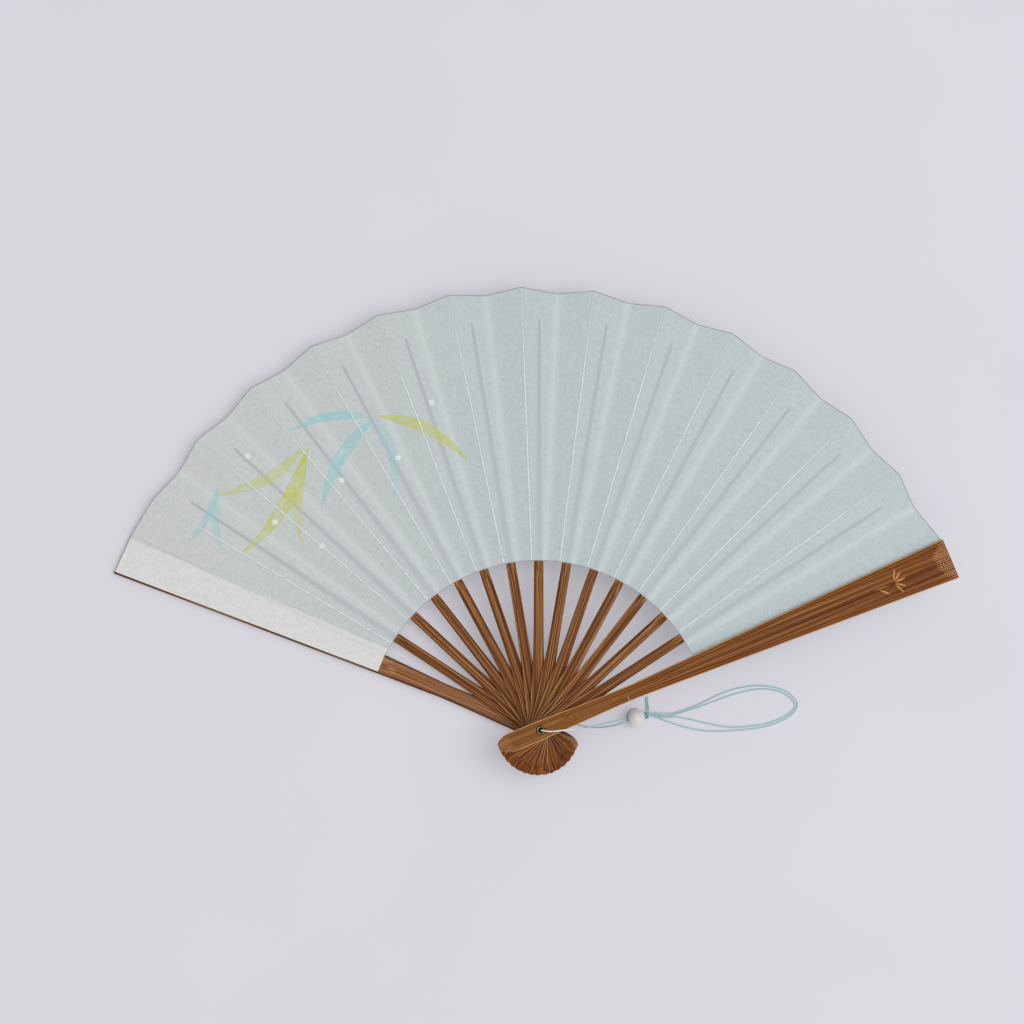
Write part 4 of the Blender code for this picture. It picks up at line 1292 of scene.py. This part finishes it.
# %% Finish: brass, cord and bead
old_brass, place = new_finish("old_brass")
stain = mottle(place, 1400.0, 4.0)
colour = blend(rescale(stain, 0.35, 0.65), tint(84, 78, 32), tint(142, 132, 66))
level = reckon_place("MULTIPLY", place, (1, 1, 0))
from_axis = reckon_place("DISTANCE", level, (0, EYELET_Y, 0), "Value")
# Dark round the outer edge of the flange.
colour = blend(rescale(from_axis, 1.5 * MM, 1.66 * MM, 0.0, 0.9), colour, tint(40, 32, 18))
polish = rescale(stain, 0.3, 0.7, 0.5, 0.28)
shade(old_brass, {"Base Color": colour, "Roughness": polish, "Metallic": 1.0})

cord_silk, place = new_finish("cord_silk")
hair = mottle(place, 3200.0, 3.0)
colour = blend(rescale(hair, 0.3, 0.7), tint(132, 182, 187), tint(178, 213, 216))
from_eyelet = reckon_place("DISTANCE", place, (0, EYELET_Y, STACK_HEIGHT), "Value")
colour = blend(fade(from_eyelet, 12 * MM, 24 * MM, 0.95), colour, tint(232, 230, 224))
shade(cord_silk, {"Base Color": colour, "Roughness": 0.7, "Normal": bump(hair, 0.4, 0.05 * MM)})

white_stone, place = new_finish("white_stone")
vein = mottle(place, 900.0, 3.0, distortion=0.4)
colour = blend(rescale(vein, 0.35, 0.65), tint(204, 201, 197), tint(216, 214, 211))
milky = {"Subsurface Weight": 1.0, "Subsurface Scale": 6 * MM, "Subsurface Radius": (1.0, 0.95, 0.9)}
polish = rescale(vein, 0.3, 0.7, 0.62, 0.48)
shade(white_stone, {"Base Color": colour, "Roughness": polish, "Specular IOR Level": 0.3, **milky})

# %% [markdown]
# Each piece now gets its finish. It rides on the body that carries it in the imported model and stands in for
# the plain solid there, so that the fan still folds in the same way.

# %% Dress the pieces and let them ride
def settle(piece, body, node, slot, *materials):
    dress(piece, *materials)
    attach(piece, body)
    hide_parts(node)


guard_sides = (bamboo_skin, carved_wood, bamboo_inside, shaded_bamboo_side)
settle(rear_guard, "rear_guard", "guard_rear", "bamboo", *guard_sides)
settle(front_guard, "front_guard", "guard_front", "bamboo", *guard_sides)
paper_sides = (front_paper, back_paper, cut_paper)
for i, (rib, panel) in enumerate(zip(ribs, panels), 1):
    settle(rib, f"rib_{i:02d}", f"rib_{i:02d}", "bamboo", bamboo_rib, shaded_bamboo_side)
    settle(panel, f"rib_{i:02d}", f"leaf_sleeve_{i:02d}", "leaf_paper", *paper_sides)
for i, pleat in enumerate(pleats):
    settle(pleat, f"pleat_{i:02d}", f"leaf_pleat_{i:02d}", "leaf_paper", *paper_sides)
settle(rear_band, "rear_guard", "leaf_end_rear", "end_paper", *paper_sides)
settle(front_band, "front_guard", "leaf_end_front", "end_paper", *paper_sides)
settle(eyelet, "rear_guard", "eyelet", "eyelet_brass", old_brass)
dress(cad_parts["eyelet_washer"], old_brass)
settle(bead, "rear_guard", "bead", "bead_white", white_stone)
settle(knot, "rear_guard", "knot", "cord_thread", cord_silk)
for name, (cord, node, route) in cords.items():
    settle(cord, "rear_guard", node, "cord_thread", cord_silk)
print("dressed", 2 + len(ribs) + len(panels) + len(pleats) + 2 + 4 + len(cords), "pieces")

# %% [markdown]
# The fan lies on a seamless pale grey-white table. A large soft lamp high on the right and an even sky give
# the light of an overcast day, at a level where a colour comes out about as it is written.

# %% The table
FLOOR_SIDE = 3.0
SHADOW_LIFT = 0.38
grid = bpy.ops.mesh.primitive_grid_add
table = add_shape("table_top", grid, x_subdivisions=8, y_subdivisions=8, size=FLOOR_SIDE)
table_paint, place = new_finish("table_paint")
grain = mottle(place, 9.0, 2.0)
colour = blend(rescale(grain, 0.3, 0.7), tint(215, 214, 221), tint(217, 216, 223))
shade(table_paint, {"Base Color": colour, "Roughness": 0.95, "Specular IOR Level": 0.1})


def seen_directly(tree):
    """1 where the eye sees the surface straight on, through glass or in a reflection, else 0."""
    path = outputs_of(tree.nodes.new("ShaderNodeLightPath"))
    return (path["Is Camera Ray"] + path["Is Glossy Ray"] + path["Is Transmission Ray"]).at_most(1.0)


def close_with(node, share, shader, colour):
    """Closes a material or the sky with its shader, mixed by a share with a plain light of its own."""
    tree = node.id_data
    light = "Emission" if node.name == "Material Output" else "Background"
    own_light = add(tree, light, {"Color": colour, "Strength": 1.0})
    feed(node, {"Surface": add(tree, "MixShader", {0: share, 1: Field(shader.outputs[0]), 2: own_light})})


tree = table_paint.node_tree
lifted = seen_directly(tree) * SHADOW_LIFT
close_with(tree.nodes["Material Output"], lifted, tree.nodes["Principled BSDF"], colour)
dress(table, table_paint)

# %% The sky and the lamp
DAYLIGHT = 0.7
LAMP_PLACE = Vector((0.75, -0.1, 1.55))
sky = bpy.data.worlds.new("overcast")
sky.use_nodes = True
bpy.context.scene.world = sky
tree = sky.node_tree
daylight = tree.nodes["Background"]
feed(daylight, {"Color": (1, 1, 1, 1), "Strength": DAYLIGHT})
close_with(tree.nodes["World Output"], seen_directly(tree), daylight, tint(216, 215, 222))
lamp = add_object("soft_lamp", bpy.data.lights.new("soft_lamp", "AREA"))
lamp.data.shape = "DISK"
lamp.data.size = 1.5
lamp.data.energy = 13.0
lamp.location = LAMP_PLACE
lamp.rotation_euler = (-LAMP_PLACE).to_track_quat("-Z", "Y").to_euler()
bpy.context.scene.view_settings.view_transform = "Standard"
print("lamp at, mm:", in_mm(lamp.location))
